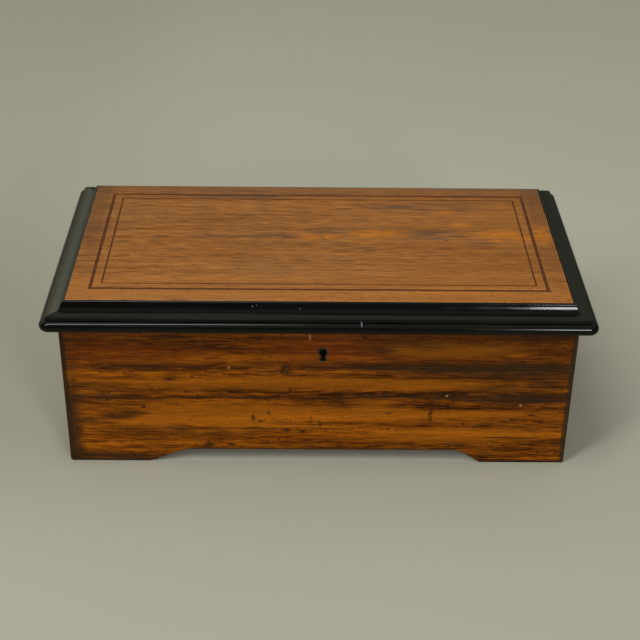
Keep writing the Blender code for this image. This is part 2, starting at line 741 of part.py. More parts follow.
def line_cutter(side, front, back, width):
    """A rectangular border groove in the panel's top, from margins to its outer edge."""
    low_z = LID_TOP - LINE_DEPTH
    high_z = LID_TOP + OVERRUN
    outer_low = (-PANEL_X + side, -PANEL_Y + front)
    outer_high = (PANEL_X - side, PANEL_Y - back)
    inner_low = (outer_low[0] + width, outer_low[1] + width)
    inner_high = (outer_high[0] - width, outer_high[1] - width)
    return frame_mesh(outer_low, outer_high, inner_low, inner_high, low_z, high_z)


def frame_mesh(outer_low, outer_high, inner_low, inner_high, low_z, high_z):
    """A rectangular ring between two heights."""
    mesh = bmesh.new()

    def loop(low, high, z):
        places = ((low[0], low[1]), (high[0], low[1]), (high[0], high[1]), (low[0], high[1]))
        return [mesh.verts.new((x, y, z)) for x, y in places]

    loops = [
        loop(outer_low, outer_high, low_z),
        loop(outer_low, outer_high, high_z),
        loop(inner_low, inner_high, high_z),
        loop(inner_low, inner_high, low_z),
    ]
    for i in range(4):
        one, two = loops[i], loops[(i + 1) % 4]
        for k in range(4):
            m = (k + 1) % 4
            mesh.faces.new((one[k], one[m], two[m], two[k]))
    bmesh.ops.recalc_face_normals(mesh, faces=mesh.faces)
    return mesh


def make_lid(mats):
    """Panel with its border lines, four mouldings and the lock's striker."""
    lid = make_pivot("lid_hinge_axis", (0.0, HINGE_Y, HINGE_Z))
    low = (-PANEL_X, -PANEL_Y, LID_TOP - PANEL_THICKNESS)
    panel = put("lid_panel", box(low, (PANEL_X, PANEL_Y, LID_TOP)), mats["lid_wood"], lid)
    cut(panel, line_cutter(OUTER_LINE_SIDE, OUTER_LINE_FRONT, OUTER_LINE_BACK, OUTER_LINE))
    side = OUTER_LINE_SIDE + LINE_STEP_SIDE
    front = OUTER_LINE_FRONT + LINE_STEP_FRONT
    cut(panel, line_cutter(side, front, OUTER_LINE_BACK + LINE_STEP_BACK, INNER_LINE))

    black = mats["ebonised"]
    put("lid_moulding_front", moulding(PANEL_X, PANEL_Y, 0), black, lid)
    put("lid_moulding_right", moulding(PANEL_Y, PANEL_X, 1), black, lid)
    rear = put("lid_moulding_back", moulding(PANEL_X, PANEL_Y, 2), black, lid)
    put("lid_moulding_left", moulding(PANEL_Y, PANEL_X, 3), black, lid)
    for side in (-1, 1):
        cut(rear, hinge_recess(side))
    make_striker(mats, lid)
    return lid


def hinge_recess(side):
    """Room in the back moulding's underside for one lid leaf and the knuckles."""
    middle = side * HINGE_FROM_MIDDLE
    reach = HINGE_LENGTH / 2 + FIT
    room = KNUCKLE_RADIUS + 2 * FIT
    below = LID_BOTTOM - OVERRUN
    leaf_y = BACK_Y - LEAF_WIDTH
    leaf_top = LID_BOTTOM + LEAF_THICKNESS + FIT
    outline = [
        (leaf_y, below),
        (HINGE_Y + room, below),
        (HINGE_Y + room, HINGE_Z + room),
        (HINGE_Y - room, HINGE_Z + room),
        (HINGE_Y - room, leaf_top),
        (leaf_y, leaf_top),
    ]
    return prism(outline, "X", middle - reach, middle + reach)


def make_striker(mats, lid):
    """Plate under the lid with a staple that drops into the lock."""
    top, floor, middle_y = lock_places()
    plate_top = LID_TOP - PANEL_THICKNESS - FIT
    low = (KEYHOLE_X - STRIKER_LENGTH / 2, middle_y - STAPLE_WIDTH / 2, plate_top - STRIKER_PLATE)
    high = (KEYHOLE_X + STRIKER_LENGTH / 2, middle_y + STAPLE_WIDTH / 2, plate_top)
    striker = put("lock_striker", box(low, high), mats["brass"], lid)
    bottom = top - STAPLE_DROP
    half = STAPLE_THICKNESS / 2
    low = (KEYHOLE_X - half, middle_y - STAPLE_WIDTH / 2, bottom)
    high = (KEYHOLE_X + half, middle_y + STAPLE_WIDTH / 2, plate_top - STRIKER_PLATE / 2)
    join(striker, box(low, high))
    eye = BOLT_WIDTH / 2 + SIDE_PLAY
    low = (KEYHOLE_X - 2 * half, middle_y - eye, bottom + STAPLE_WEB)
    high = (KEYHOLE_X + 2 * half, middle_y + eye, floor + FIT + BOLT_HEIGHT + SIDE_PLAY)
    cut(striker, box(low, high))


def make_hinge(mats, lid, side):
    """Butt hinge: the case leaf has the outer knuckles, the lid leaf the middle one."""
    word = "left" if side < 0 else "right"
    middle = side * HINGE_FROM_MIDDLE
    half = HINGE_LENGTH / 2
    centre = (HINGE_Y, HINGE_Z)
    mid_half = KNUCKLE_MIDDLE / 2
    bore = rod("X", centre, middle - half - OVERRUN, middle + half + OVERRUN, HINGE_PIN_RADIUS + RUN)

    low = (middle - half, BACK_Y - LEAF_WIDTH, CASE_HEIGHT - LEAF_THICKNESS - FIT)
    high = (middle + half, HINGE_Y, CASE_HEIGHT - FIT)
    leaf = put("hinge_case_leaf_" + word, box(low, high), mats["brass"])
    join(leaf, rod("X", centre, middle - half, middle + half, KNUCKLE_RADIUS))
    room = KNUCKLE_RADIUS + 2 * FIT
    gap = mid_half + FIT
    low = (middle - gap, HINGE_Y - room, HINGE_Z - room)
    cut(leaf, box(low, (middle + gap, HINGE_Y + room, HINGE_Z + room)), bore)

    low = (middle - half, BACK_Y - LEAF_WIDTH + FIT, LID_BOTTOM)
    high = (middle + half, HINGE_Y, LID_BOTTOM + LEAF_THICKNESS)
    leaf = put("hinge_lid_leaf_" + word, box(low, high), mats["brass"], lid)
    join(leaf, rod("X", centre, middle - mid_half, middle + mid_half, KNUCKLE_RADIUS))
    start = middle - half - OVERRUN
    end = middle + half + OVERRUN
    for low_x, high_x in ((start, middle - mid_half), (middle + mid_half, end)):
        high = (high_x, HINGE_Y + room, HINGE_Z + room)
        cut(leaf, box((low_x, HINGE_Y - room, HINGE_Z - room), high))
    cut(leaf, rod("X", centre, start, end, HINGE_PIN_RADIUS + RUN))

    put("hinge_pin_" + word, rod("X", centre, middle - half, middle + half, HINGE_PIN_RADIUS), mats["steel"])


def glass_pivot_place():
    """Where the glass lid turns, across the case."""
    edge = INNER_BACK_Y - GLASS_BACK_GAP
    height = CASE_HEIGHT - GLASS_FRAME_DROP - GLASS_FRAME_HEIGHT / 2
    return (edge - GLASS_PIVOT_SET, height)


def make_glass_lid(mats):
    """Framed pane over the movement, turning on two pivots in the partitions."""
    pivot = glass_pivot_place()
    carrier = make_pivot("glass_lid_axis", (0.0, *pivot))
    low_z = pivot[1] - GLASS_FRAME_HEIGHT / 2
    high_z = pivot[1] + GLASS_FRAME_HEIGHT / 2
    outer_low = (LEFT_PARTITION_INNER + SIDE_PLAY, INNER_FRONT_Y + GLASS_FRONT_GAP)
    outer_high = (RIGHT_PARTITION_INNER - SIDE_PLAY, INNER_BACK_Y - GLASS_BACK_GAP)
    inner_low = (outer_low[0] + GLASS_FRAME_BAR, outer_low[1] + GLASS_FRAME_BAR)
    inner_high = (outer_high[0] - GLASS_FRAME_BAR, outer_high[1] - GLASS_FRAME_BAR)
    mesh = frame_mesh(outer_low, outer_high, inner_low, inner_high, low_z, high_z)
    frame = put("glass_lid_frame", mesh, mats["ebonised"], carrier)
    reach = GLASS_PIVOT_REACH + SIDE_PLAY
    join(
        frame,
        rod("X", pivot, outer_low[0] - reach, outer_low[0] + reach, GLASS_PIVOT_RADIUS, PIN_SEGMENTS),
        rod("X", pivot, outer_high[0] - reach, outer_high[0] + reach, GLASS_PIVOT_RADIUS, PIN_SEGMENTS),
    )
    low = (inner_low[0] + FIT, inner_low[1] + FIT, pivot[1] - PANE_THICKNESS / 2)
    high = (inner_high[0] - FIT, inner_high[1] - FIT, pivot[1] + PANE_THICKNESS / 2)
    put("glass_pane", box(low, high), mats["glass"], carrier)


def pedestal(centre, half_base, head, bore, low_x, high_x):
    """An upright plate that stands on the bedplate and holds a shaft in its round head."""
    outline = [(centre[0] + half_base, STAND_Z), (centre[0] + half_base, STAND_Z + PEDESTAL_FOOT)]
    outline += arc(centre, head, 0.0, math.pi, 10)
    outline += [(centre[0] - half_base, STAND_Z + PEDESTAL_FOOT), (centre[0] - half_base, STAND_Z)]
    hole = rod("X", centre, low_x - OVERRUN, high_x + OVERRUN, bore + RUN)
    return prism(outline, "X", low_x, high_x), hole


def make_bed(mats):
    """Rails, bedplate and every fixed upright of the movement."""
    bed_low = LEFT_PARTITION_INNER + BED_END_GAP / 2
    bed_high = RIGHT_PARTITION_INNER - BED_END_GAP / 2
    for name, low_x in (("bed_rail_left", bed_low), ("bed_rail_right", bed_high - RAIL_WIDTH)):
        low = (low_x, BED_FRONT, BOTTOM_TOP + FIT)
        high = (low_x + RAIL_WIDTH, BED_BACK, BOTTOM_TOP + FIT + RAIL_HEIGHT)
        put(name, box(low, high), mats["inner_wood"])
    put("bedplate", box((bed_low, BED_FRONT, BED_BOTTOM), (bed_high, BED_BACK, BED_TOP)), mats["brass"])

    cylinder_axis = (CYLINDER_AXIS_Y, AXIS_Z)
    barrel_axis = (BARREL_Y, AXIS_Z)
    governor_axis = (GOVERNOR_Y, AXIS_Z)
    bearing = (cylinder_axis, BEARING_HALF_BASE, BEARING_HEAD, CYLINDER_ARBOR_RADIUS, BEARING_THICKNESS)
    bridge = (barrel_axis, BRIDGE_HALF_BASE, BRIDGE_HEAD, BARREL_ARBOR_RADIUS, BRIDGE_THICKNESS)
    plate = (governor_axis, GOVERNOR_HALF_BASE, GOVERNOR_HEAD, GOVERNOR_ARBOR_RADIUS, GOVERNOR_PLATE)
    uprights = (
        ("cylinder_bearing_left", BEARING_LEFT_X, bearing),
        ("cylinder_bearing_right", BEARING_RIGHT_X, bearing),
        ("barrel_bridge_left", BRIDGE_LEFT_X, bridge),
        ("barrel_bridge_right", BRIDGE_RIGHT_X, bridge),
        ("governor_plate_left", GOVERNOR_LEFT_X, plate),
        ("governor_plate_right", GOVERNOR_RIGHT_X, plate),
    )
    for name, low_x, (centre, half_base, head, bore, thickness) in uprights:
        body, hole = pedestal(centre, half_base, head, bore, low_x, low_x + thickness)
        cut(put(name, body, mats["brass"]), hole)


def make_comb(mats):
    """Steel comb on its base, with its screws."""
    length = COMB_TEETH * COMB_TOOTH_PITCH
    low_x = (CYLINDER_X + CYLINDER_END_X - length) / 2
    tip_y = CYLINDER_AXIS_Y - CYLINDER_RADIUS - COMB_TIP_GAP
    heel_y = tip_y - COMB_LONG_TOOTH - COMB_HEEL
    outline = [(low_x, heel_y), (low_x + length, heel_y)]
    for k in range(COMB_TEETH - 1, -1, -1):
        share = k / (COMB_TEETH - 1)
        root_y = tip_y - COMB_LONG_TOOTH + (COMB_LONG_TOOTH - COMB_SHORT_TOOTH) * share
        right = low_x + (k + 1) * COMB_TOOTH_PITCH
        left = low_x + k * COMB_TOOTH_PITCH
        if k == COMB_TEETH - 1:
            outline.append((right, tip_y))
        else:
            outline.append((right - COMB_SLOT / 2, tip_y))
        if k == 0:
            outline.append((left, tip_y))
        else:
            outline.append((left + COMB_SLOT / 2, tip_y))
            outline.append((left + COMB_SLOT / 2, root_y))
            outline.append((left - COMB_SLOT / 2, root_y))
    low_z = AXIS_Z - COMB_THICKNESS / 2
    comb = put("comb", prism(outline, "Z", low_z, low_z + COMB_THICKNESS), mats["steel"])
    base_low = (low_x, heel_y, STAND_Z)
    base_high = (low_x + length, heel_y + COMB_HEEL, low_z - FIT)
    base = put("comb_base", box(base_low, base_high), mats["brass"])

    screw_y = heel_y + COMB_HEEL / 2
    middle_x = low_x + length / 2
    top = low_z + COMB_THICKNESS + FIT
    for number, offset in enumerate(COMB_SCREW_X, start=1):
        centre = (middle_x + offset, screw_y)
        hole = SCREW_RADIUS + FIT
        low = top - SCREW_LENGTH
        cut(comb, rod("Z", centre, low, top + OVERRUN, hole, PIN_SEGMENTS))
        cut(base, rod("Z", centre, low - FIT, top + OVERRUN, hole, PIN_SEGMENTS))
        profile = [
            (low, 0.0),
            (low, SCREW_RADIUS),
            (top, SCREW_RADIUS),
            (top, SCREW_HEAD_RADIUS),
            (top + SCREW_HEAD_HEIGHT, SCREW_HEAD_RADIUS * 0.9),
            (top + SCREW_HEAD_HEIGHT, 0.0),
        ]
        put("comb_screw_" + str(number), lathe(profile, "Z", centre, PIN_SEGMENTS), mats["steel"])


def make_cylinder(mats):
    """Arbor with its pinion and great wheel, and the cylinder that shifts along it."""
    centre = (CYLINDER_AXIS_Y, AXIS_Z)
    drive = make_pivot("cylinder_turn_axis", (CYLINDER_X, *centre))
    arbor_end = BEARING_RIGHT_X + BEARING_THICKNESS + SHAFT_STAND
    mesh = rod("X", centre, DRIVE_PINION_X - SHAFT_STAND, arbor_end, CYLINDER_ARBOR_RADIUS)
    put("cylinder_arbor", mesh, mats["steel"], drive)
    bore = CYLINDER_ARBOR_RADIUS + FIT

    step = 2 * math.pi / DRIVE_PINION_TEETH
    outline = gear_outline(centre, DRIVE_PINION_TEETH, DRIVE_MODULE, step / 2)
    end = DRIVE_PINION_X + DRIVE_PINION_LENGTH
    pinion = put("drive_pinion", prism(outline, "X", DRIVE_PINION_X, end), mats["steel"], drive)
    cut(pinion, rod("X", centre, DRIVE_PINION_X - OVERRUN, end + OVERRUN, bore))

    outline = gear_outline(centre, GREAT_WHEEL_TEETH, TRAIN_MODULE, 0.0)
    end = GREAT_WHEEL_X + GREAT_WHEEL_THICKNESS
    wheel = put("great_wheel", prism(outline, "X", GREAT_WHEEL_X, end), mats["brass"], drive)
    cut(wheel, rod("X", centre, GREAT_WHEEL_X - OVERRUN, end + OVERRUN, bore))

    shift = make_pivot("cylinder_shift_axis", (CYLINDER_X, *centre), drive)
    inner = CYLINDER_RADIUS - CYLINDER_WALL
    low = CYLINDER_X + CYLINDER_END
    high = CYLINDER_END_X - CYLINDER_END
    profile = [
        (CYLINDER_X, bore),
        (CYLINDER_X, CYLINDER_RADIUS),
        (CYLINDER_END_X, CYLINDER_RADIUS),
        (CYLINDER_END_X, bore),
        (high, bore),
        (high, inner),
        (low, inner),
        (low, bore),
    ]
    put("pinned_cylinder", lathe(profile, "X", centre, DRUM_SEGMENTS), mats["brass"], shift)


def spiral_outline(centre, inner, outer):
    """Both faces of a strip wound in a spiral from the inner to the outer radius."""
    count = SPRING_TURNS * SPRING_POINTS
    inside = []
    outside = []
    for k in range(count + 1):
        angle = 2 * math.pi * k / SPRING_POINTS
        radius = inner + (outer - inner) * k / count
        inside.append(polar(centre, radius - SPRING_STRIP / 2, angle))
        outside.append(polar(centre, radius + SPRING_STRIP / 2, angle))
    return outside + inside[::-1]


def make_barrel(mats):
    """Spring barrel with its cap, wheel and mainspring."""
    centre = (BARREL_Y, AXIS_Z)
    carrier = make_pivot("barrel_turn_axis", (BARREL_X, *centre))
    bore = BARREL_ARBOR_RADIUS + FIT
    inner = BARREL_RADIUS - BARREL_WALL
    end = BARREL_X + BARREL_LENGTH
    profile = [
        (BARREL_X, inner),
        (BARREL_X, BARREL_RADIUS),
        (end, BARREL_RADIUS),
        (end, bore),
        (end - BARREL_END, bore),
        (end - BARREL_END, inner),
    ]
    put("spring_barrel", lathe(profile, "X", centre, DRUM_SEGMENTS), mats["brass"], carrier)
    low = BARREL_X + BARREL_WALL / 4
    profile = [(low, bore), (low, inner - FIT), (low + BARREL_END, inner - FIT), (low + BARREL_END, bore)]
    put("barrel_cap", lathe(profile, "X", centre, DRUM_SEGMENTS), mats["brass"], carrier)

    outline = gear_outline(centre, DRIVE_WHEEL_TEETH, DRIVE_MODULE, math.pi)
    high = DRIVE_WHEEL_X + DRIVE_WHEEL_THICKNESS
    wheel = put("barrel_wheel", prism(outline, "X", DRIVE_WHEEL_X, high), mats["brass"], carrier)
    cut(wheel, rod("X", centre, DRIVE_WHEEL_X - OVERRUN, high + OVERRUN, bore))

    strip_inner = BARREL_ARBOR_RADIUS + FIT + SPRING_STRIP / 2
    facet = math.cos(math.pi / DRUM_SEGMENTS)
    strip_outer = (inner - FIT) * facet - SPRING_STRIP / 2
    outline = spiral_outline(centre, strip_inner, strip_outer)
    low += BARREL_END + FIT
    put("mainspring", prism(outline, "X", low, end - BARREL_END - FIT), mats["steel"], carrier)


def ratchet_outline(centre):
    """Saw teeth whose steep faces look towards the growing angle."""
    step = 2 * math.pi / RATCHET_TEETH
    points = []
    for k in range(RATCHET_TEETH):
        angle = k * step
        points.append(polar(centre, RATCHET_RADIUS, angle))
        points.append(polar(centre, RATCHET_RADIUS - RATCHET_TOOTH, angle + step * 0.04))
    return points


def make_winder(mats):
    """Barrel arbor with its ratchet, the lever with its knob and pawl, and the click."""
    centre = (BARREL_Y, AXIS_Z)
    arbor_axis = make_pivot("winding_arbor_axis", (RATCHET_X, *centre))
    left = LEVER_X - ARBOR_PAST_LEVER
    right = BRIDGE_RIGHT_X + BRIDGE_THICKNESS + SHAFT_STAND
    mesh = rod("X", centre, left, right, BARREL_ARBOR_RADIUS)
    put("barrel_arbor", mesh, mats["steel"], arbor_axis)
    bore = BARREL_ARBOR_RADIUS + FIT
    mesh = prism(ratchet_outline(centre), "X", RATCHET_X, RATCHET_X + RATCHET_THICKNESS)
    ratchet = put("ratchet_wheel", mesh, mats["steel"], arbor_axis)
    cut(ratchet, rod("X", centre, RATCHET_X - OVERRUN, RATCHET_X + RATCHET_THICKNESS + OVERRUN, bore))

    lever_axis = make_pivot("winding_lever_axis", (LEVER_X, *centre))
    tip = polar(centre, LEVER_REACH, LEVER_REST)
    outline = link_outline(centre, LEVER_HUB, tip, LEVER_TIP)
    end = LEVER_X + LEVER_THICKNESS
    lever = put("winding_lever", prism(outline, "X", LEVER_X, end), mats["brass"], lever_axis)
    pawl_place = polar(centre, PAWL_ON_LEVER, LEVER_REST)
    middle_x = end - LEVER_THICKNESS / 2
    join(lever, rod("X", pawl_place, middle_x, RATCHET_X + RATCHET_THICKNESS, PAWL_PIN, PIN_SEGMENTS))
    cut(lever, rod("X", centre, LEVER_X - OVERRUN, end + OVERRUN, bore))
    profile = []
    for along, radius in KNOB_SHAPE:
        profile.append((LEVER_X - FIT - KNOB_LENGTH * along, KNOB_RADIUS * radius))
    put("lever_knob", lathe(profile, "X", tip), mats["ebonised"], lever_axis)

    pawl_axis = make_pivot("drive_pawl_axis", (RATCHET_X, *pawl_place), lever_axis)
    step = 2 * math.pi / RATCHET_TEETH
    steep = math.ceil((LEVER_REST - PAWL_LEAD) / step) * step
    tip_radius = RATCHET_RADIUS - PAWL_BITE
    pawl_tip = polar(centre, tip_radius, steep + (PAWL_TIP + PAWL_ROOM) / tip_radius)
    make_finger("drive_pawl", pawl_place, pawl_tip, mats["steel"], pawl_axis)

    click_place = polar(centre, CLICK_PIVOT_RADIUS, CLICK_PIVOT_ANGLE)
    click_axis = make_pivot("click_axis", (RATCHET_X, *click_place))
    click_tip = polar(centre, RATCHET_RADIUS + PAWL_TIP + 2 * FIT, CLICK_TIP_ANGLE)
    make_finger("click", click_place, click_tip, mats["steel"], click_axis)


def make_finger(name, place, tip, material, carrier):
    """A pawl: a bored boss that tapers to a narrow tip in the ratchet's plane."""
    outline = link_outline(place, PAWL_BOSS, tip, PAWL_TIP, 5)
    low = RATCHET_X + FIT
    high = RATCHET_X + RATCHET_THICKNESS - FIT
    finger = put(name, prism(outline, "X", low, high), material, carrier)
    cut(finger, rod("X", place, low - OVERRUN, high + OVERRUN, PAWL_PIN + RUN, PIN_SEGMENTS))


def worm_mesh(centre, low, thread_low, thread_high, high):
    """Single-start endless screw with its two pivots, as one skin of turned rings."""
    mesh = bmesh.new()
    root = WORM_RADIUS - WORM_THREAD_DEPTH / 2
    slice_height = WORM_LEAD / WORM_SLICES_PER_LEAD
    slices = round((thread_high - thread_low) / slice_height)
    heights = [low, thread_low - slice_height]
    heights += [thread_low + slice_height * k for k in range(slices + 1)]
    heights += [thread_low + slice_height * (slices + 1), high]
    rings = []
    for level, z in enumerate(heights):
        ring = []
        for k in range(WORM_SEGMENTS):
            angle = 2 * math.pi * k / WORM_SEGMENTS
            radius = root
            if level in (0, 1, len(heights) - 2, len(heights) - 1):
                radius = WORM_ARBOR_RADIUS
            elif level not in (2, len(heights) - 3):
                turn = (z - AXIS_Z) / WORM_LEAD - (angle + math.pi / 2) / (2 * math.pi)
                swell = 0.5 - 0.5 * math.cos(2 * math.pi * turn)
                radius = root + WORM_THREAD_DEPTH * swell ** 1.7
            x = centre[0] + radius * math.cos(angle)
            y = centre[1] + radius * math.sin(angle)
            ring.append(mesh.verts.new((x, y, z)))
        rings.append(ring)
    for one, two in zip(rings, rings[1:]):
        for k in range(WORM_SEGMENTS):
            m = (k + 1) % WORM_SEGMENTS
            mesh.faces.new((one[k], one[m], two[m], two[k]))
    mesh.faces.new(rings[0])
    mesh.faces.new(rings[-1])
    return mesh


def make_governor(mats):
    """Pinion arbor with the worm wheel, the cock, and the endless screw with its fly."""
    centre = (GOVERNOR_Y, AXIS_Z)
    carrier = make_pivot("governor_turn_axis", (GOVERNOR_PINION_X, *centre))
    low = GOVERNOR_LEFT_X - SHAFT_STAND / 2
    high = GOVERNOR_RIGHT_X + GOVERNOR_PLATE + SHAFT_STAND / 2
    mesh = rod("X", centre, low, high, GOVERNOR_ARBOR_RADIUS)
    arbor = put("governor_pinion", mesh, mats["steel"], carrier)
    step = 2 * math.pi / GOVERNOR_PINION_TEETH
    outline = gear_outline(centre, GOVERNOR_PINION_TEETH, TRAIN_MODULE, math.pi + step / 2)
    end = GOVERNOR_PINION_X + GOVERNOR_PINION_LENGTH
    join(arbor, prism(outline, "X", GOVERNOR_PINION_X, end))

    outline = gear_outline(centre, WORM_WHEEL_TEETH, TRAIN_MODULE, 0.0)
    low = WORM_X - WORM_WHEEL_THICKNESS / 2
    high = WORM_X + WORM_WHEEL_THICKNESS / 2
    wheel = put("worm_wheel", prism(outline, "X", low, high), mats["brass"], carrier)
    cut(wheel, rod("X", centre, low - OVERRUN, high + OVERRUN, GOVERNOR_ARBOR_RADIUS + FIT))

    wheel_reach = WORM_WHEEL_RADIUS + TRAIN_MODULE
    arm_low = AXIS_Z - wheel_reach - COCK_LOWER_GAP - COCK_ARM
    arm_high = glass_pivot_place()[1] - PANE_THICKNESS / 2 - COCK_BELOW_PANE - COCK_ARM
    fly_low = AXIS_Z + wheel_reach + FLY_ABOVE_WHEEL
    fly_high = arm_high - FLY_ABOVE_WHEEL
    front = WORM_Y - COCK_REACH
    post = WORM_Y + FLY_RADIUS + FLY_ABOVE_WHEEL
    back = post + COCK_POST
    outline = [
        (front, arm_low),
        (post, arm_low),
        (post, STAND_Z),
        (back, STAND_Z),
        (back, arm_high + COCK_ARM),
        (front, arm_high + COCK_ARM),
        (front, arm_high),
        (post, arm_high),
        (post, arm_low + COCK_ARM),
        (front, arm_low + COCK_ARM),
    ]
    half = COCK_WIDTH / 2
    cock = put("governor_cock", prism(outline, "X", WORM_X - half, WORM_X + half), mats["brass"])
    axis = (WORM_X, WORM_Y)
    cut(
        cock,
        rod("Z", axis, arm_low + COCK_ARM / 3, arm_low + COCK_ARM + OVERRUN, WORM_ARBOR_RADIUS + RUN),
        rod("Z", axis, arm_high - OVERRUN, arm_high + COCK_ARM * 2 / 3, WORM_ARBOR_RADIUS + RUN),
    )
    fly_axis = make_pivot("fly_turn_axis", (*axis, AXIS_Z))
    thread_low = AXIS_Z - WORM_LENGTH / 2
    thread_high = AXIS_Z + WORM_LENGTH / 2
    low = arm_low + COCK_ARM / 3 + FIT
    high = arm_high + COCK_ARM * 2 / 3 - FIT
    put("endless_screw", worm_mesh(axis, low, thread_low, thread_high, high), mats["steel"], fly_axis)
    half = FLY_BLADE / 2
    low = (WORM_X - FLY_RADIUS, WORM_Y - half, fly_low)
    fly = put("fly", box(low, (WORM_X + FLY_RADIUS, WORM_Y + half, fly_high)), mats["brass"], fly_axis)
    join(fly, rod("Z", axis, fly_low, fly_high, FLY_HUB_RADIUS))
    cut(fly, rod("Z", axis, fly_low - OVERRUN, fly_high + OVERRUN, WORM_ARBOR_RADIUS + FIT))


def make_controls(mats):
    """Bracket on the right partition with the stop lever and the change lever."""
    low_x = RIGHT_PARTITION_X + FIT
    high_x = low_x + CONTROL_PLATE
    low = (low_x, min(CONTROL_PIVOT_Y) - CONTROL_PLATE_MARGIN, CONTROL_HEIGHT - CONTROL_PLATE_MARGIN)
    high = (high_x, max(CONTROL_PIVOT_Y) + CONTROL_PLATE_MARGIN, CONTROL_HEIGHT + CONTROL_PLATE_MARGIN)
    bracket = put("control_bracket", box(low, high), mats["brass"])
    lever_x = high_x + FIT
    lever_end = lever_x + CONTROL_LEVER_THICKNESS
    for name, y in zip(("stop_lever", "change_lever"), CONTROL_PIVOT_Y):
        centre = (y, CONTROL_HEIGHT)
        middle_x = low_x + CONTROL_PLATE / 2
        join(bracket, rod("X", centre, middle_x, lever_end + SHAFT_STAND, CONTROL_PIN, PIN_SEGMENTS))
        carrier = make_pivot(name + "_axis", (lever_x, *centre))
        tip = polar(centre, CONTROL_LEVER, CONTROL_REST)
        outline = link_outline(centre, CONTROL_HUB, tip, CONTROL_TIP)
        lever = put(name, prism(outline, "X", lever_x, lever_end), mats["steel"], carrier)
        cut(lever, rod("X", centre, lever_x - OVERRUN, lever_end + OVERRUN, CONTROL_PIN + RUN, PIN_SEGMENTS))


def main():
    """Build the whole music box."""
    clear_scene()
    mats = make_materials()
    make_case(mats)
    make_partitions(mats)
    make_lock(mats)
    lid = make_lid(mats)
    for side in (-1, 1):
        make_hinge(mats, lid, side)
    make_glass_lid(mats)
    make_bed(mats)
    make_comb(mats)
    make_cylinder(mats)
    make_barrel(mats)
    make_winder(mats)
    make_governor(mats)
    make_controls(mats)


main()
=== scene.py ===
"""Looks of a lever-wound cylinder music box: its finishes, fine surfaces, camera and light.

Metres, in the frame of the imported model: X runs along the front, Y from front to back, and
Z = 0 is the floor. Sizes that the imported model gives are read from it; the others repeat the
named sizes of the part's source.
"""

import math
import random

import bmesh
import bpy
from mathutils import Matrix, Vector


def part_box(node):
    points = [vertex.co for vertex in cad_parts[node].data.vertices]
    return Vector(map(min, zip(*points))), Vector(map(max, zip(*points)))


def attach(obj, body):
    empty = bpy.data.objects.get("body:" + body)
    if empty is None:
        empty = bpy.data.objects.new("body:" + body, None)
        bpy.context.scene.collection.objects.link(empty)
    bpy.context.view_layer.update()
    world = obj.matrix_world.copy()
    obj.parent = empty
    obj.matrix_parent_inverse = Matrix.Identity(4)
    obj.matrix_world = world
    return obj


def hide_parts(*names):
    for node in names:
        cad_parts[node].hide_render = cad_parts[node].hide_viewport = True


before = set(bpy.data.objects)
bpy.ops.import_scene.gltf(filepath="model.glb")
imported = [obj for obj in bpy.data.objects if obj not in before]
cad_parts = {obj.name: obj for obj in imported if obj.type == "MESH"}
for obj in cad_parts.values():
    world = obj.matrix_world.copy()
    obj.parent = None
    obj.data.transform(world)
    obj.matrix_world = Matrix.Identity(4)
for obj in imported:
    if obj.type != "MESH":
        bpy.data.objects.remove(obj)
bpy.context.view_layer.update()

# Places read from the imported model
CASE_LOW, CASE_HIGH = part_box("case_front")
BACK_LOW, BACK_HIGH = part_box("case_back")
PANEL_LOW, PANEL_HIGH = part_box("lid_panel")
HALF = CASE_HIGH.x
FRONT_Y = CASE_LOW.y
BACK_Y = BACK_HIGH.y
CASE_TOP = CASE_HIGH.z
LID_TOP = PANEL_HIGH.z
LID_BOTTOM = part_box("lid_moulding_front")[0].z
MOULDING_WIDTH = PANEL_LOW.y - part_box("lid_moulding_front")[0].y
LID_HEIGHT = LID_TOP - LID_BOTTOM

# Case
FIT = 0.0003
ARCH_HEIGHT = 0.0118
LEFT_FOOT = (0.0635, 0.036, 0.45)       # flat of the foot, length and bend of its curve
RIGHT_FOOT = (0.0685, 0.023, 0.95)
END_FOOT = (0.030, 0.022, 0.45)
FOOT_CORNER = 0.0022
BOARD_EDGE = 0.0007             # worn roundness of the case's edges
EDGE_STRIP = 0.0040             # strip of veneer at each end of the front
STRIP_GROOVE = 0.0003

# Lid
LIP_RUN = 0.0004
SHOULDER_RADIUS = 0.0016
STEEP_RUN = 0.0030
STEEP_DROP = 0.0052
STEEP_HOLLOW = 0.0002
BROAD_BULGE = 0.0003
STEP_RUN = 0.0002
STEP_DROP = 0.0027
NOSE_RADIUS = 0.0046
NOSE_RISE = 0.0015              # underside of the nose above the lid's underside
UNDER_BACK = 0.0033
MITRE_GAP = 0.00012
LID_CORNER = 0.0075
OUTER_LINE = 0.0026
OUTER_LINE_MARGINS = (0.0155, 0.0166, 0.0149)       # side, front, back
INNER_LINE = 0.0013
INNER_LINE_STEPS = (0.0088, 0.0088, 0.0085)
LINE_SINK = 0.00022
PANEL_EDGE = 0.0003

# Keyhole and hinges
KEYHOLE_X = 0.0031
KEYHOLE_DROP = 0.0166
LINER_WIDTH = 0.0080
LINER_HEIGHT = 0.0134
LINER_FOOT_WIDTH = 0.0056
LINER_WALL = 0.0009
LINER_DEPTH = 0.004
LINER_STAND = 0.0002
HINGE_LENGTH = 0.045
HINGE_FROM_MIDDLE = 0.120
LEAF_THICKNESS = 0.0013
LEAF_WIDTH = 0.0076
KNUCKLE_RADIUS = 0.0024
HINGE_Y = BACK_Y + 0.0028
HINGE_Z = CASE_TOP + FIT / 2

# Camera, worked out from the photograph's edges
CAMERA_PLACE = (-0.01289, -0.99768, 0.67798)
CAMERA_LOOK = (0.01267, 0.85416, -0.51985)
CAMERA_RIGHT = (0.9999, -0.00744, 0.01214)
CAMERA_LENS = 77.114

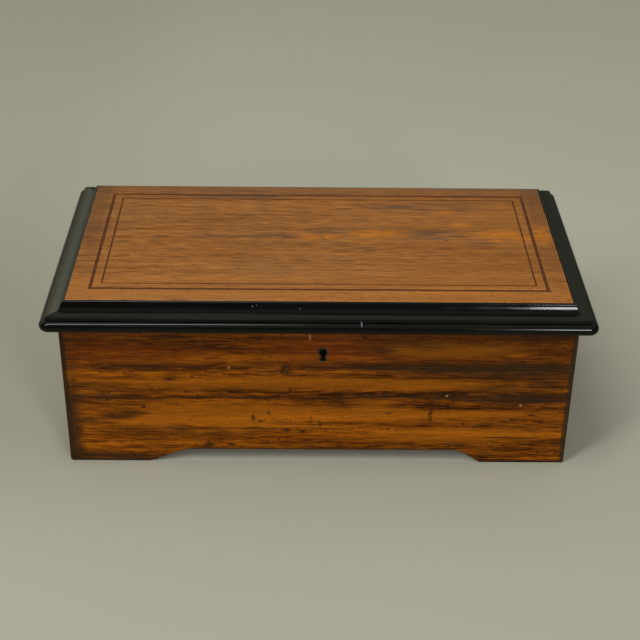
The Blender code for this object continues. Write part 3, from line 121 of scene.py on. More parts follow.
ROUND = 64                      # segments of a turned piece
OVERRUN = 0.002
MILLIMETRE = 0.001


class Finish:
    """The shader nodes of one material, made by short calls that return sockets."""

    def __init__(self, name, roughness=0.5, metallic=0.0, specular=0.5, along="X"):
        self.material = bpy.data.materials.new(name)
        self.material.use_nodes = True
        self.nodes = self.material.node_tree.nodes
        self.links = self.material.node_tree.links
        self.shader = self.nodes["Principled BSDF"]
        self.shader.inputs["Roughness"].default_value = roughness
        self.shader.inputs["Metallic"].default_value = metallic
        self.shader.inputs["Specular IOR Level"].default_value = specular
        self.place = self.add("ShaderNodeTexCoord").outputs["Object"]
        self.normal = None
        parts = self.add("ShaderNodeSeparateXYZ")
        self.links.new(self.place, parts.inputs[0])
        self.x, self.y, self.z = parts.outputs
        turned = self.add("ShaderNodeCombineXYZ")
        order = (self.y, self.x, self.z) if along == "Y" else (self.x, self.y, self.z)
        for socket, part in zip(turned.inputs, order):
            self.links.new(part, socket)
        self.grain = turned.outputs[0]

    def add(self, kind, **settings):
        node = self.nodes.new(kind)
        for key, value in settings.items():
            setattr(node, key, value)
        return node

    def feed(self, socket, value):
        """Link a socket to another, or set it to a constant."""
        if isinstance(value, bpy.types.NodeSocket):
            self.links.new(value, socket)
        elif socket.type == "RGBA" and len(value) == 3:
            socket.default_value = (*value, 1.0)
        else:
            socket.default_value = value

    def math(self, operation, first, second=0.0, third=0.0):
        node = self.add("ShaderNodeMath", operation=operation)
        for socket, value in zip(node.inputs, (first, second, third)):
            self.feed(socket, value)
        return node.outputs[0]

    def times(self, first, *factors):
        for factor in factors:
            first = self.math("MULTIPLY", first, factor)
        return first

    def larger(self, first, *others):
        for other in others:
            first = self.math("MAXIMUM", first, other)
        return first

    def scaled(self, value, factor, base):
        """A value times a factor, added to a base."""
        return self.math("MULTIPLY_ADD", value, factor, base)

    def less(self, first, second):
        return self.math("SUBTRACT", first, second)

    def absolute(self, value):
        return self.math("ABSOLUTE", value)

    def vector(self, operation, *values):
        """A vector sum or product of sockets and constants."""
        node = self.add("ShaderNodeVectorMath", operation=operation)
        for socket, value in zip(node.inputs, values):
            self.feed(socket, value)
        return node.outputs["Value" if operation == "LENGTH" else "Vector"]

    def band(self, value, base, places):
        """Zero, a smooth step up, one, and a smooth step down, at four places from a base."""
        rise, top, brink, end = (base + place for place in places)
        return self.times(self.step(value, rise, top), self.fall(value, brink, end))

    def noise(self, scale, detail=3.0, rough=0.55, shift=(0.0, 0.0, 0.0), warp=0.0, place=None):
        """Noise from 0 to 1, with its own scale along and across the grain, or by axis."""
        mapping = self.add("ShaderNodeMapping")
        self.feed(mapping.inputs["Vector"], self.grain if place is None else place)
        mapping.inputs["Scale"].default_value = (*scale, scale[1])[:3]
        mapping.inputs["Location"].default_value = shift
        node = self.add("ShaderNodeTexNoise")
        self.links.new(mapping.outputs[0], node.inputs["Vector"])
        node.inputs["Scale"].default_value = 1.0
        node.inputs["Detail"].default_value = detail
        node.inputs["Roughness"].default_value = rough
        node.inputs["Distortion"].default_value = warp
        return node.outputs[0]

    def step(self, value, low, high, start=0.0, end=1.0):
        """A smooth step from start at low to end at high."""
        node = self.add("ShaderNodeMapRange", interpolation_type="SMOOTHSTEP")
        for key, number in zip((0, 1, 2, 3, 4), (value, low, high, start, end)):
            self.feed(node.inputs[key], number)
        return node.outputs[0]

    def fall(self, value, low, high):
        """A smooth step down, from one to zero."""
        return self.step(value, low, high, 1.0, 0.0)

    def ramp(self, value, *stops):
        """A colour from a value, by (place, colour) stops."""
        node = self.add("ShaderNodeValToRGB")
        points = node.color_ramp.elements
        while len(points) < len(stops):
            points.new(0.5)
        for point, (place, colour) in zip(points, stops):
            point.position = place
            point.color = (*colour, 1.0)
        self.feed(node.inputs[0], value)
        return node.outputs[0]

    def mix(self, share, first, second, blend="MIX"):
        node = self.add("ShaderNodeMix", data_type="RGBA", blend_type=blend)
        self.feed(node.inputs[0], share)
        self.feed(node.inputs[6], first)
        self.feed(node.inputs[7], second)
        return node.outputs[2]

    def warped(self, amount, scale):
        """The place, shifted by noise, so that patches get ragged edges."""
        mapping = self.add("ShaderNodeMapping")
        self.links.new(self.place, mapping.inputs["Vector"])
        mapping.inputs["Scale"].default_value = scale
        node = self.add("ShaderNodeTexNoise")
        self.links.new(mapping.outputs[0], node.inputs["Vector"])
        node.inputs["Scale"].default_value = 1.0
        node.inputs["Detail"].default_value = 3.0
        centred = self.vector("SUBTRACT", node.outputs["Color"], (0.5, 0.5, 0.5))
        return self.vector("MULTIPLY_ADD", centred, amount, self.place)

    def patches(self, place, spots, plane="XZ", soft=0.45):
        """The largest of elliptic patches, each (across, up, half width, half height) in millimetres."""
        shares = []
        for spot in spots:
            across, up, half_width, half_height = (MILLIMETRE * size for size in spot)
            centre = (across, 0.0, up)
            shrink = (1 / half_width, 0.0, 1 / half_height)
            if plane == "XY":
                centre = (across, up, 0.0)
                shrink = (1 / half_width, 1 / half_height, 0.0)
            scaled = self.vector("MULTIPLY", self.vector("SUBTRACT", place, centre), shrink)
            shares.append(self.fall(self.vector("LENGTH", scaled), 1.0 - soft, 1.0 + soft))
        return self.larger(*shares)

    def colour(self, socket):
        self.base = socket
        self.feed(self.shader.inputs["Base Color"], socket)

    def paint(self, share, tint):
        """Lay a tint over the colour so far."""
        self.colour(self.mix(share, self.base, tint))

    def roughness(self, socket):
        self.feed(self.shader.inputs["Roughness"], socket)

    def bump(self, height, distance, strength=1.0):
        """Add fine relief of a real height to the surface."""
        node = self.add("ShaderNodeBump")
        node.inputs["Strength"].default_value = strength
        node.inputs["Distance"].default_value = distance
        self.feed(node.inputs["Height"], height)
        if self.normal is not None:
            self.links.new(self.normal, node.inputs["Normal"])
        self.normal = node.outputs[0]
        self.feed(self.shader.inputs["Normal"], self.normal)


def wood_figure(finish, bands, streaks, fibres):
    """Three layers of grain, each (along, across, share) in features a metre, as one value."""
    broad = finish.noise(bands[:2], 3.0, 0.6, warp=0.3)
    middle = finish.noise(streaks[:2], 4.0, 0.65, (3.1, 0.7, 1.9), warp=0.12)
    fine = finish.noise(fibres[:2], 2.0, 0.6, (1.3, 4.1, 2.2))
    value = finish.times(broad, bands[2])
    value = finish.scaled(middle, streaks[2], value)
    return finish.scaled(fine, fibres[2], value), fine


# Marks of the front board, in millimetres: (x, z, half width, half height)
FRONT_STREAKS = (
    (-150, 116.5, 42, 2.8), (-112, 118.5, 30, 1.8), (-150, 90.5, 36, 3.6), (-40, 90, 40, 3.4),
    (20, 92.5, 60, 3), (-60, 62.5, 50, 1.4), (0, 62, 60, 1.1), (-150, 62.5, 34, 3),
    (140, 35.6, 56, 1), (-145, 31, 20, 4.2), (-108, 33, 12, 3.6), (-60, 33, 60, 1.4),
    (160, 25, 40, 1), (52, 108.5, 10, 3.4), (75, 119, 30, 2), (-148, 48, 12, 3.6),
    (-160, 44, 14, 3.4), (-178, 39.5, 16, 2.8),
)
FRONT_BANDS = (
    (158, 90.2, 48, 7.4), (110, 90.5, 50, 5.2), (60, 91.5, 50, 2.6), (165, 62, 42, 4.5),
    (120, 63.2, 40, 2.4), (70, 64, 40, 1.3), (-166, 3.6, 40, 4.4), (165, 1, 40, 1.6),
)
FRONT_VEILS = (
    (160, 70.5, 36, 6), (182, 80, 18, 10), (160, 118, 42, 5), (-176, 66, 18, 9), (100, 112, 60, 6),
)
FRONT_BLOTS = (
    (-87.5, 16.5, 4.8, 3.4), (-69.2, 17.2, 4, 1.5), (-117, 79.8, 4, 1.4), (-112, 81.2, 1.2, 0.9),
    (-99, 82, 1.4, 0.9), (-170, 66.8, 2, 1.7), (-138.5, 53.3, 1.6, 1.2), (-69, 68, 1.6, 1.4),
    (-131, 70.5, 1.8, 0.8), (-12, 30, 2, 1.6), (-6, 42, 1.2, 3), (1, 37, 1, 3), (-25, 31, 3, 1.4),
    (116, 38.5, 1.4, 0.9), (130, 37.5, 1.2, 0.9), (56, 48, 3, 1), (56, 33, 1.4, 1),
    (-47.4, 117.4, 3.6, 1.4), (-25.3, 88.7, 5.5, 5.5), (-45.4, 40.3, 3, 1.3), (-52, 44, 0.9, 4),
    (-39, 47.5, 1.2, 2.4), (-22.3, 70, 1.2, 2.4), (-62.4, 69, 3.4, 1.1), (89.3, 46.1, 1.7, 5.8),
    (103, 53, 0.7, 4), (52.5, 66.6, 3.2, 2.4), (154.8, 42.4, 1.5, 1.3), (170, 47.5, 4.5, 1),
    (175.5, 41, 4, 1), (146.5, 12.1, 2.8, 1.1), (35, 119, 2.2, 1),
)
FRONT_AMBER = (
    (-60, 76, 110, 5), (60, 76, 80, 5.2), (43, 50, 16, 10), (43, 50, 19, 10), (-70, 49, 75, 8.5),
    (110, 47, 70, 4), (155, 104, 10, 1.6), (-100, 40, 75, 11), (110, 27, 75, 7), (100, 108, 50, 6),
)
FRONT_RED = (
    (0, 108, 45, 12), (-150, 103, 50, 8),
)
FRONT_SCRATCHES = (
    (-7.4, 119, 0.6, 3), (-70, 90.3, 0.6, 1.4), (101.5, 65.3, 0.9, 0.9), (160.3, 56.7, 1, 0.9),
)


def front_wood(name="figured_front", along="X", marked=True):
    """Dark figured veneer with streaks, knots, cracks, darkened edges and a painted shadow under the
    lid.
    """
    finish = Finish(name, 0.40, specular=0.07, along=along)
    figure, fibres = wood_figure(finish, (2.2, 72.0, 0.34), (9.0, 230.0, 0.31), (60.0, 820.0, 0.35))
    colour = finish.ramp(
        figure,
        (0.408, (0.024, 0.0066, 0.0006)),
        (0.460, (0.096, 0.0250, 0.0010)),
        (0.514, (0.204, 0.0535, 0.0016)),
        (0.590, (0.372, 0.1080, 0.0036)),
    )
    finish.colour(colour)
    mottle = finish.noise((26, 70), 4.0, 0.7, (7.0, 2.0, 5.0))
    finish.paint(finish.step(mottle, 0.53, 0.70, 0.0, 0.45), (0.055, 0.017, 0.003))
    glow = finish.noise((30, 110), 3.0, 0.6, (1.0, 8.0, 3.0))
    finish.paint(finish.step(glow, 0.54, 0.70, 0.0, 0.40), (0.300, 0.086, 0.004))
    pits = finish.step(finish.noise((330, 460), 2.0, 0.5, (2.0, 9.0, 4.0)), 0.622, 0.684)
    cracks = finish.noise((30, 640), 2.0, 0.5, (6.0, 2.0, 8.0))
    cracks = finish.times(finish.step(cracks, 0.600, 0.670), 0.75)
    pores = finish.larger(pits, cracks)
    finish.paint(finish.times(pores, 0.70), (0.022, 0.007, 0.002))
    relief = finish.less(finish.times(fibres, 0.4), pores)
    if marked:
        knots = front_marks(finish)
        relief = finish.less(relief, knots)
    wear = finish.noise((300, 300), 2.0, 0.5, place=finish.place)
    finish.roughness(finish.step(wear, 0.3, 0.7, 0.30, 0.46))
    finish.bump(relief, 0.00012, 0.7)
    return finish.material


def front_marks(finish):
    """Bands, streaks, knots and scratches on the outside of the front board."""
    ragged = finish.warped((0.005, 0.005, 0.003), (210.0, 210.0, 210.0))
    fibrous = finish.warped((0.020, 0.0, 0.0045), (24.0, 24.0, 420.0))
    outside = finish.fall(finish.y, FRONT_Y + 0.0012, FRONT_Y + 0.002)
    broken = finish.step(finish.noise((26, 330), 4.0, 0.75, (4.0, 4.0, 1.0)), 0.38, 0.58, 0.15, 1.0)
    lined = finish.step(finish.noise((5, 520), 3.0, 0.7, (2.0, 6.0, 1.0)), 0.34, 0.56, 0.52, 1.0)
    bitten = finish.step(finish.noise((320, 480), 3.0, 0.7, (2.0, 3.0, 7.0)), 0.38, 0.54, 0.25, 1.0)
    upper = finish.step(finish.x, -0.020, 0.080, 0.30, 0.46)
    upper = finish.times(finish.step(finish.z, 0.088, 0.100, 0.0, upper), outside)
    finish.paint(upper, (0.070, 0.017, 0.002))
    layers = (
        (FRONT_RED, (0.175, 0.031, 0.003), 0.40, 0.8, 1.0, fibrous),
        (FRONT_AMBER, (0.370, 0.112, 0.004), 0.50, 0.6, 1.0, fibrous),
        (FRONT_VEILS, (0.036, 0.0150, 0.0045), 0.62, 0.7, broken, fibrous),
        (FRONT_BANDS, (0.030, 0.0150, 0.0055), 1.0, 0.62, lined, fibrous),
        (FRONT_STREAKS, (0.030, 0.0115, 0.0035), 0.85, 0.60, broken, fibrous),
        (FRONT_BLOTS, (0.019, 0.0085, 0.0045), 0.85, 0.55, bitten, ragged),
        (FRONT_SCRATCHES, (0.42, 0.27, 0.13), 0.7, 0.5, 1.0, ragged),
    )
    for marks, tint, share, soft, veil, place in layers:
        mask = finish.times(finish.patches(place, marks, soft=soft), share, outside, veil)
        finish.paint(mask, tint)
        if marks is FRONT_BLOTS:
            knots = mask
    rim_marks_and_shade(finish, outside)
    return knots


def rim_marks_and_shade(finish, outside):
    """Darker end strips on the front, dark wear along its arch and feet, and a band under the lid of
    painted shadow with some grime.
    """
    ragged = finish.noise((60.0, 60.0, 90.0), 4.0, 0.7, (1.0, 5.0, 2.0), place=finish.place)
    reach = finish.scaled(ragged, 0.004, finish.absolute(finish.x))
    strip = finish.step(reach, HALF - EDGE_STRIP + 0.0015, HALF - EDGE_STRIP + 0.0030)
    wear = finish.mix(finish.step(finish.x, -0.001, 0.001), (0.020, 0.012, 0.005), (0.026, 0.021, 0.010))
    finish.paint(finish.times(strip, 0.87), wear)
    left = finish.step(finish.scaled(ragged, 0.016, finish.x), -0.186, -0.176, 0.88, 0.0)
    low = finish.step(finish.z, 0.030, 0.110, 1.0, 0.35)
    stain = finish.times(left, low, outside)
    finish.paint(stain, (0.036, 0.017, 0.006))
    flat, run = LEFT_FOOT[:2]
    rise = finish.step(finish.x, -HALF + flat, -HALF + flat + run, 0.0, ARCH_HEIGHT)
    flat, run = RIGHT_FOOT[:2]
    fall = finish.step(finish.x, HALF - flat - run, HALF - flat, 0.0, -ARCH_HEIGHT)
    arch = finish.math("ADD", rise, fall)
    above = finish.less(finish.scaled(ragged, -0.0030, finish.z), arch)
    hem = finish.step(above, -0.0012, 0.0010, 0.85, 0.0)
    finish.paint(hem, (0.020, 0.0105, 0.0045))
    # A dark band under the lid: painted shadow of the lid's overhang, with some grime
    crown = finish.scaled(ragged, 0.006, finish.z)
    top = finish.step(crown, CASE_TOP - 0.0010, CASE_TOP + 0.0025, 0.0, 0.55)
    finish.paint(top, (0.040, 0.015, 0.005))


# Marks of the lid's top, in millimetres: (x, y, half width, half depth)
LID_ORANGE = (
    (9.5, 7.5, 7, 4.8), (-8, 5.5, 9, 4.2), (50, 12, 22, 6), (120, 28, 8, 4), (150, 12, 24, 7),
    (171, 8, 13, 6), (185.5, 11, 7, 17), (146.5, 2, 6, 3.8), (108, 52, 8, 3.4),
)
LID_GREY = (
    (14, 16, 24, 5.8), (6, 1, 15, 4), (96, 10, 30, 9), (-50, 7.5, 50, 4), (90, 60, 45, 9),
    (135, 1, 20, 7.2), (-70, 84, 50, 7.2), (41, -15, 5, 5),
)
LID_DASHES = (
    (-91, 7.8, 12, 1), (-35, 6, 20, 1.2), (-155, -27, 2.4, 1.4), (-72, 25, 1.4, 1),
    (13, -19, 2.8, 1.1), (69, -80, 2.8, 1), (160, -48, 3, 1.2), (-102, -53, 8, 1.2),
)

WORN_RING = (178.1, -80.8, 2.2, 2.2)
WORN_HOLE = (178.1, -80.8, 1.1, 1.1)


def lid_wood():
    """Paler veneer of the lid's top, with fine pores, orange patches and grey scuffs."""
    finish = Finish("veneered_top", 0.45, specular=0.10)
    figure, fibres = wood_figure(finish, (3.0, 60.0, 0.24), (8.0, 260.0, 0.27), (60.0, 900.0, 0.49))
    colour = finish.ramp(
        figure,
        (0.395, (0.134, 0.0500, 0.0115)),
        (0.460, (0.216, 0.0830, 0.0188)),
        (0.522, (0.292, 0.1115, 0.0240)),
        (0.605, (0.400, 0.1600, 0.0380)),
    )
    finish.colour(colour)
    warm = finish.step(finish.x, 0.020, 0.190, 0.0, 0.30)
    finish.paint(warm, (0.272, 0.0920, 0.0120))
    haze = finish.noise((5, 14), 3.0, 0.6, (2.0, 6.0, 0.0))
    finish.paint(finish.step(haze, 0.45, 0.70, 0.0, 0.28), (0.215, 0.105, 0.042))
    near = finish.step(finish.y, -0.090, -0.045, 0.45, 0.0)
    finish.paint(near, (0.405, 0.152, 0.028))
    ragged = finish.warped((0.012, 0.006, 0.0), (50.0, 200.0, 50.0))
    broken = finish.step(finish.noise((24, 300), 4.0, 0.7, (4.0, 1.0, 1.0)), 0.40, 0.60)
    grey = finish.times(finish.patches(ragged, LID_GREY, "XY", 0.7), broken)
    finish.paint(finish.times(grey, 0.85), (0.085, 0.052, 0.034))
    lid_borders(finish)
    torn = finish.noise((90, 420), 4.0, 0.75, (9.0, 2.0, 4.0))
    orange = finish.patches(ragged, LID_ORANGE, "XY", 0.75)
    orange = finish.times(orange, finish.step(torn, 0.36, 0.62, 0.12, 0.95))
    finish.paint(orange, (0.480, 0.160, 0.008))
    speck = finish.noise((260, 420), 2.0, 0.5, (5.0, 3.0, 2.0))
    crowd = finish.step(finish.noise((9, 16), 2.0, 0.5, (8.0, 1.0, 0.0)), 0.42, 0.66, 0.25, 1.0)
    crowd = finish.larger(crowd, finish.step(finish.y, -0.078, -0.060, 0.9, 0.0))
    speck = finish.times(finish.step(speck, 0.61, 0.68), crowd)
    lines = finish.noise((30, 640), 2.0, 0.5, (6.0, 2.0, 8.0))
    lines = finish.times(finish.step(lines, 0.60, 0.68), 0.45)
    dashes = finish.times(finish.patches(ragged, LID_DASHES, "XY", 0.5), broken)
    dark = finish.larger(finish.times(speck, 0.7), finish.times(dashes, 0.75))
    dark = finish.larger(dark, lines)
    ring = finish.patches(finish.place, (WORN_RING,), "XY", 0.1)
    hole = finish.patches(finish.place, (WORN_HOLE,), "XY", 0.1)
    dark = finish.larger(dark, finish.times(finish.less(ring, hole), 0.7))
    finish.paint(dark, (0.080, 0.030, 0.010))
    wear = finish.noise((40, 120), 3.0, 0.6)
    finish.roughness(finish.step(wear, 0.3, 0.7, 0.38, 0.55))
    finish.bump(finish.less(finish.times(fibres, 0.4), dark), 0.00010, 0.6)
    return finish.material


def lid_borders(finish):
    """Greyer, darker wood outside the outer line at the sides and back, and pale worn rims."""
    side, front, back = OUTER_LINE_MARGINS
    ragged = finish.noise((70, 70), 4.0, 0.7, (1.0, 5.0, 2.0), place=finish.place)
    across = finish.scaled(ragged, 0.006, finish.absolute(finish.x))
    sides = finish.step(across, PANEL_HIGH.x - side - 0.001, PANEL_HIGH.x - side + 0.009, 0.0, 0.52)
    sides = finish.times(sides, finish.step(finish.y, -0.085, 0.030, 0.1, 1.0))
    depth = finish.scaled(ragged, 0.004, finish.y)
    rear = finish.step(depth, PANEL_HIGH.y - back - 0.001, PANEL_HIGH.y - back + 0.012, 0.0, 0.42)
    finish.paint(sides, (0.105, 0.050, 0.021))
    finish.paint(rear, (0.120, 0.066, 0.036))
    rim_x = finish.step(finish.absolute(finish.x), PANEL_HIGH.x - 0.0009, PANEL_HIGH.x - 0.0004)
    rim_y = finish.step(finish.absolute(finish.y), PANEL_HIGH.y - 0.0009, PANEL_HIGH.y - 0.0004)
    rim = finish.times(finish.larger(rim_x, rim_y), finish.step(ragged, 0.42, 0.58, 0.0, 0.6))
    finish.paint(rim, (0.360, 0.180, 0.075))


def line_wood():
    """Brown stringing in the lid's border grooves."""
    finish = Finish("border_line", 0.5, specular=0.2)
    grain = finish.noise((260, 260), 3.0, 0.7, place=finish.place)
    finish.colour(finish.ramp(grain, (0.35, (0.050, 0.0145, 0.0035)), (0.65, (0.118, 0.0370, 0.0090))))
    finish.bump(grain, 0.00006, 0.5)
    return finish.material


def line_edge():
    """Dark walls of the border grooves."""
    finish = Finish("border_edge", 0.6, specular=0.1)
    grain = finish.noise((400, 400), 3.0, 0.7, place=finish.place)
    finish.colour(finish.ramp(grain, (0.3, (0.030, 0.009, 0.003)), (0.8, (0.085, 0.028, 0.008))))
    return finish.material


def inner_wood(name, along):
    """Varnished brown wood of the inside."""
    finish = Finish(name, 0.42, specular=0.35, along=along)
    figure, fibres = wood_figure(finish, (4.0, 60.0, 0.34), (20.0, 300.0, 0.38), (80.0, 800.0, 0.28))
    colour = finish.ramp(
        figure,
        (0.39, (0.085, 0.028, 0.009)),
        (0.50, (0.165, 0.062, 0.020)),
        (0.62, (0.240, 0.100, 0.034)),
    )
    finish.colour(colour)
    finish.bump(fibres, 0.00006, 0.4)
    return finish.material


# Bare nicks of the lacquer, and last a painted glint on the front-right mitre, in millimetres: (x, z,
# half width, half height)
LACQUER_NICKS_AND_GLINT = (
    (31.8, 137.2, 0.5, 1.3), (-51.2, 144.5, 0.7, 0.4), (-48, 145.2, 0.5, 0.4), (-15, 143, 0.4, 0.3),
    (197.4, 144.8, 0.5, 1.6),
)


# Heights of the faces with dust and painted reflection, from the lid's top: start, full, full, end
BROAD_DUST_AND_SHEEN = (-0.0082, -0.0074, -0.0068, -0.0063)
STEEP_DUST_AND_SHEEN = (-0.0072, -0.0069, -0.0062, -0.0048)
NOSE_DUST_AND_SHEEN = (-0.0145, -0.0110, -0.0098, -0.0090)


def ebonised():
    """Black lacquer over wood: dust and painted reflection lie on the faces that look up, most on the
    left one, whose shoulder, steep face and nose also get painted reflection of light from the left.
    """
    finish = Finish("black_lacquer", 0.12, specular=0.18)
    haze = finish.step(finish.noise((14, 14), 4.0, 0.65, place=finish.place), 0.35, 0.75)
    finish.colour(finish.mix(haze, (0.0006, 0.0007, 0.0005), (0.0022, 0.0024, 0.0015)))
    chips = finish.noise((240, 420), 3.0, 0.6, (5.0, 1.0, 3.0))
    thin = finish.noise((11, 26), 2.0, 0.5, (1.0, 8.0, 3.0))
    worn = finish.times(finish.step(chips, 0.68, 0.74), finish.step(thin, 0.52, 0.66))
    finish.paint(worn, (0.040, 0.021, 0.009))
    level = finish.band(finish.z, LID_TOP, BROAD_DUST_AND_SHEEN)
    behind = finish.less(finish.absolute(finish.y), PANEL_HIGH.y)
    film = finish.step(finish.noise((50, 130), 4.0, 0.7, (3.0, 1.0, 0.0)), 0.25, 0.75, 0.75, 1.0)
    shoulder_sheen = finish.step(finish.z, LID_TOP - 0.0036, LID_TOP - 0.0024)
    steep_dust_and_sheen = finish.band(finish.z, LID_TOP, STEEP_DUST_AND_SHEEN)
    nose_dust_and_sheen = finish.band(finish.z, LID_TOP, NOSE_DUST_AND_SHEEN)
    # Each side's broad face gets a grey tint of dust and painted reflection, much more on the left
    for side, dust_and_sheen in ((-1, (0.053, 0.050, 0.030)), (1, (0.0125, 0.0150, 0.0085))):
        beside = finish.scaled(finish.x, side, -PANEL_HIGH.x)
        mitre = finish.step(finish.less(beside, behind), 0.0, 0.0003)
        share = finish.times(level, mitre, film)
        finish.paint(share, dust_and_sheen)
        if side < 0:
            # Left moulding only: the shoulder tint is painted reflection of light from the left; the
            # steep and nose tints are painted reflection with some dust
            for zone, share, tint in (
                (shoulder_sheen, 0.8, (0.036, 0.042, 0.036)),
                (steep_dust_and_sheen, 0.7, (0.074, 0.078, 0.060)),
                (nose_dust_and_sheen, 0.6, (0.042, 0.042, 0.027)),
            ):
                finish.paint(finish.times(zone, mitre, share), tint)
    # The front and back broad faces get a faint tint of dust and painted reflection
    beside = finish.less(finish.absolute(finish.x), PANEL_HIGH.x)
    mitre = finish.step(finish.less(behind, beside), 0.0, 0.0003)
    share = finish.times(level, mitre, film)
    finish.paint(share, (0.0040, 0.0048, 0.0018))
    lip = finish.step(finish.z, LID_TOP - 0.0006, LID_TOP - 0.0002)
    lip = finish.times(lip, mitre, finish.step(finish.y, 0.0, 0.001))
    finish.paint(lip, (0.100, 0.085, 0.062))
    # Pale patches: bare nicks, and the last one a painted glint on the front-right mitre
    nicks_and_glint = finish.warped((0.0012, 0.0012, 0.0012), (700.0, 700.0, 700.0))
    nicks_and_glint = finish.patches(nicks_and_glint, LACQUER_NICKS_AND_GLINT, "XZ", 0.35)
    finish.paint(finish.times(nicks_and_glint, 0.85), (0.150, 0.150, 0.125))
    smear = finish.noise((60, 180), 4.0, 0.7, (3.0, 3.0, 0.0))
    finish.roughness(finish.step(smear, 0.25, 0.80, 0.08, 0.15))
    finish.bump(finish.noise((18, 90), 3.0, 0.5), 0.00022, 0.25)
    finish.bump(finish.math("ADD", worn, nicks_and_glint), -0.00005, 0.5)
    return finish.material


def black_paint():
    """Satin black of the inner parts, worn a little brown."""
    finish = Finish("black_paint", 0.32, specular=0.35)
    wear = finish.noise((90, 220), 4.0, 0.7)
    bare = finish.step(wear, 0.55, 0.75)
    finish.colour(finish.mix(bare, (0.0060, 0.0062, 0.0055), (0.030, 0.018, 0.010)))
    finish.roughness(finish.step(wear, 0.3, 0.7, 0.26, 0.42))
    finish.bump(wear, 0.00006, 0.4)
    return finish.material


def metal(name, dark, light, rough_low, rough_high, brushed=(90.0, 90.0, 900.0), spots=0.25):
    """A worn metal: two tones, brush marks, and dull spots of tarnish."""
    finish = Finish(name, 0.3, 1.0)
    tone = finish.noise((28, 28), 4.0, 0.6, place=finish.place)
    finish.colour(finish.mix(finish.step(tone, 0.30, 0.72), dark, light))
    tarnish = finish.noise((120, 120), 4.0, 0.7, (2.0, 7.0, 1.0), place=finish.place)
    tarnish = finish.times(finish.step(tarnish, 0.56, 0.74), spots)
    finish.paint(tarnish, tuple(0.35 * c for c in dark))
    brush = finish.noise(brushed, 3.0, 0.6, place=finish.place)
    rough = finish.step(brush, 0.25, 0.75, rough_low, rough_high)
    finish.roughness(finish.scaled(tarnish, 0.5, rough))
    finish.bump(brush, 0.00001, 0.25)
    return finish.material


def glass():
    """Slightly green old window glass with a faint waviness."""
    finish = Finish("old_glass", 0.03, specular=0.5)
    finish.shader.inputs["Transmission Weight"].default_value = 1.0
    finish.shader.inputs["IOR"].default_value = 1.45
    wave = finish.noise((14, 9), 2.0, 0.5, place=finish.place)
    finish.colour(finish.mix(wave, (0.93, 0.98, 0.95), (0.97, 0.99, 0.96)))
    finish.bump(wave, 0.0004, 0.15)
    return finish.material


FRONT_WOOD = front_wood()
BACK_WOOD = front_wood("figured_back", "X", marked=False)
END_WOOD = front_wood("figured_end", "Y", marked=False)
LID_WOOD = lid_wood()
LINE_WOOD = line_wood()
LINE_EDGE = line_edge()
INNER_X_WOOD = inner_wood("inner_wood_long", "X")
INNER_Y_WOOD = inner_wood("inner_wood_cross", "Y")
LACQUER = ebonised()
BLACK = black_paint()
BRASS = metal("aged_brass", (0.36, 0.21, 0.065), (0.60, 0.40, 0.145), 0.24, 0.42)
GILT = metal("bright_brass", (0.55, 0.36, 0.11), (0.72, 0.50, 0.18), 0.18, 0.34, spots=0.15)
OLD_BRASS = metal("dull_brass", (0.070, 0.075, 0.052), (0.165, 0.165, 0.120), 0.38, 0.55, spots=0.4)
IRON = metal("dark_iron", (0.016, 0.016, 0.015), (0.045, 0.044, 0.040), 0.40, 0.60, spots=0.4)
STEEL = metal("grey_steel", (0.26, 0.26, 0.26), (0.48, 0.48, 0.47), 0.22, 0.40)
BRIGHT_STEEL = metal("polished_steel", (0.42, 0.42, 0.42), (0.60, 0.60, 0.59), 0.14, 0.28, spots=0.12)
BLUED_STEEL = metal("blued_steel", (0.020, 0.026, 0.060), (0.060, 0.070, 0.130), 0.20, 0.35)
GLASS = glass()


def arc(centre, radius, start, end, steps):
    """Points on an arc, both ends included."""
    x, y = centre
    angles = [start + (end - start) * k / steps for k in range(steps + 1)]
    return [(x + radius * math.cos(angle), y + radius * math.sin(angle)) for angle in angles]


def bowed(start, end, bulge, steps):
    """Points between two ends, bowed outwards by the bulge, without the ends."""
    run = Vector(end) - Vector(start)
    outward = Vector((run.y, -run.x)).normalized()
    points = []
    for k in range(1, steps):
        share = k / steps
        place = Vector(start) + run * share + outward * bulge * math.sin(math.pi * share)
        points.append((place.x, place.y))
    return points


def on_axis(axis, along, first, second):
    """A point from its place along an axis and its two places across it."""
    if axis == "X":
        return (along, first, second)
    if axis == "Y":
        return (first, along, second)
    return (first, second, along)


def bridge(mesh, one, two, finish=0):
    """Faces between two loops of as many points, without those of no area."""
    for i, (a, b) in enumerate(zip(one, two)):
        j = (i + 1) % len(one)
        if (a.co - b.co).length > 1e-8 or (one[j].co - two[j].co).length > 1e-8:
            mesh.faces.new((a, one[j], two[j], b)).material_index = finish


def corners(low, high):
    """The four corners of a rectangle."""
    return [(low[0], low[1]), (high[0], low[1]), (high[0], high[1]), (low[0], high[1])]


def prism(outline, axis, low, high):
    """A flat outline drawn across an axis and carried along it from low to high."""
    mesh = bmesh.new()
    ends = []
    for along in (low, high):
        ends.append([mesh.verts.new(on_axis(axis, along, a, b)) for a, b in outline])
    mesh.faces.new(ends[0])
    mesh.faces.new(ends[1])
    bridge(mesh, *ends)
    return mesh


def box_mesh(low, high):
    """A box between two corners."""
    return prism(corners(low, high), "Z", low[2], high[2])


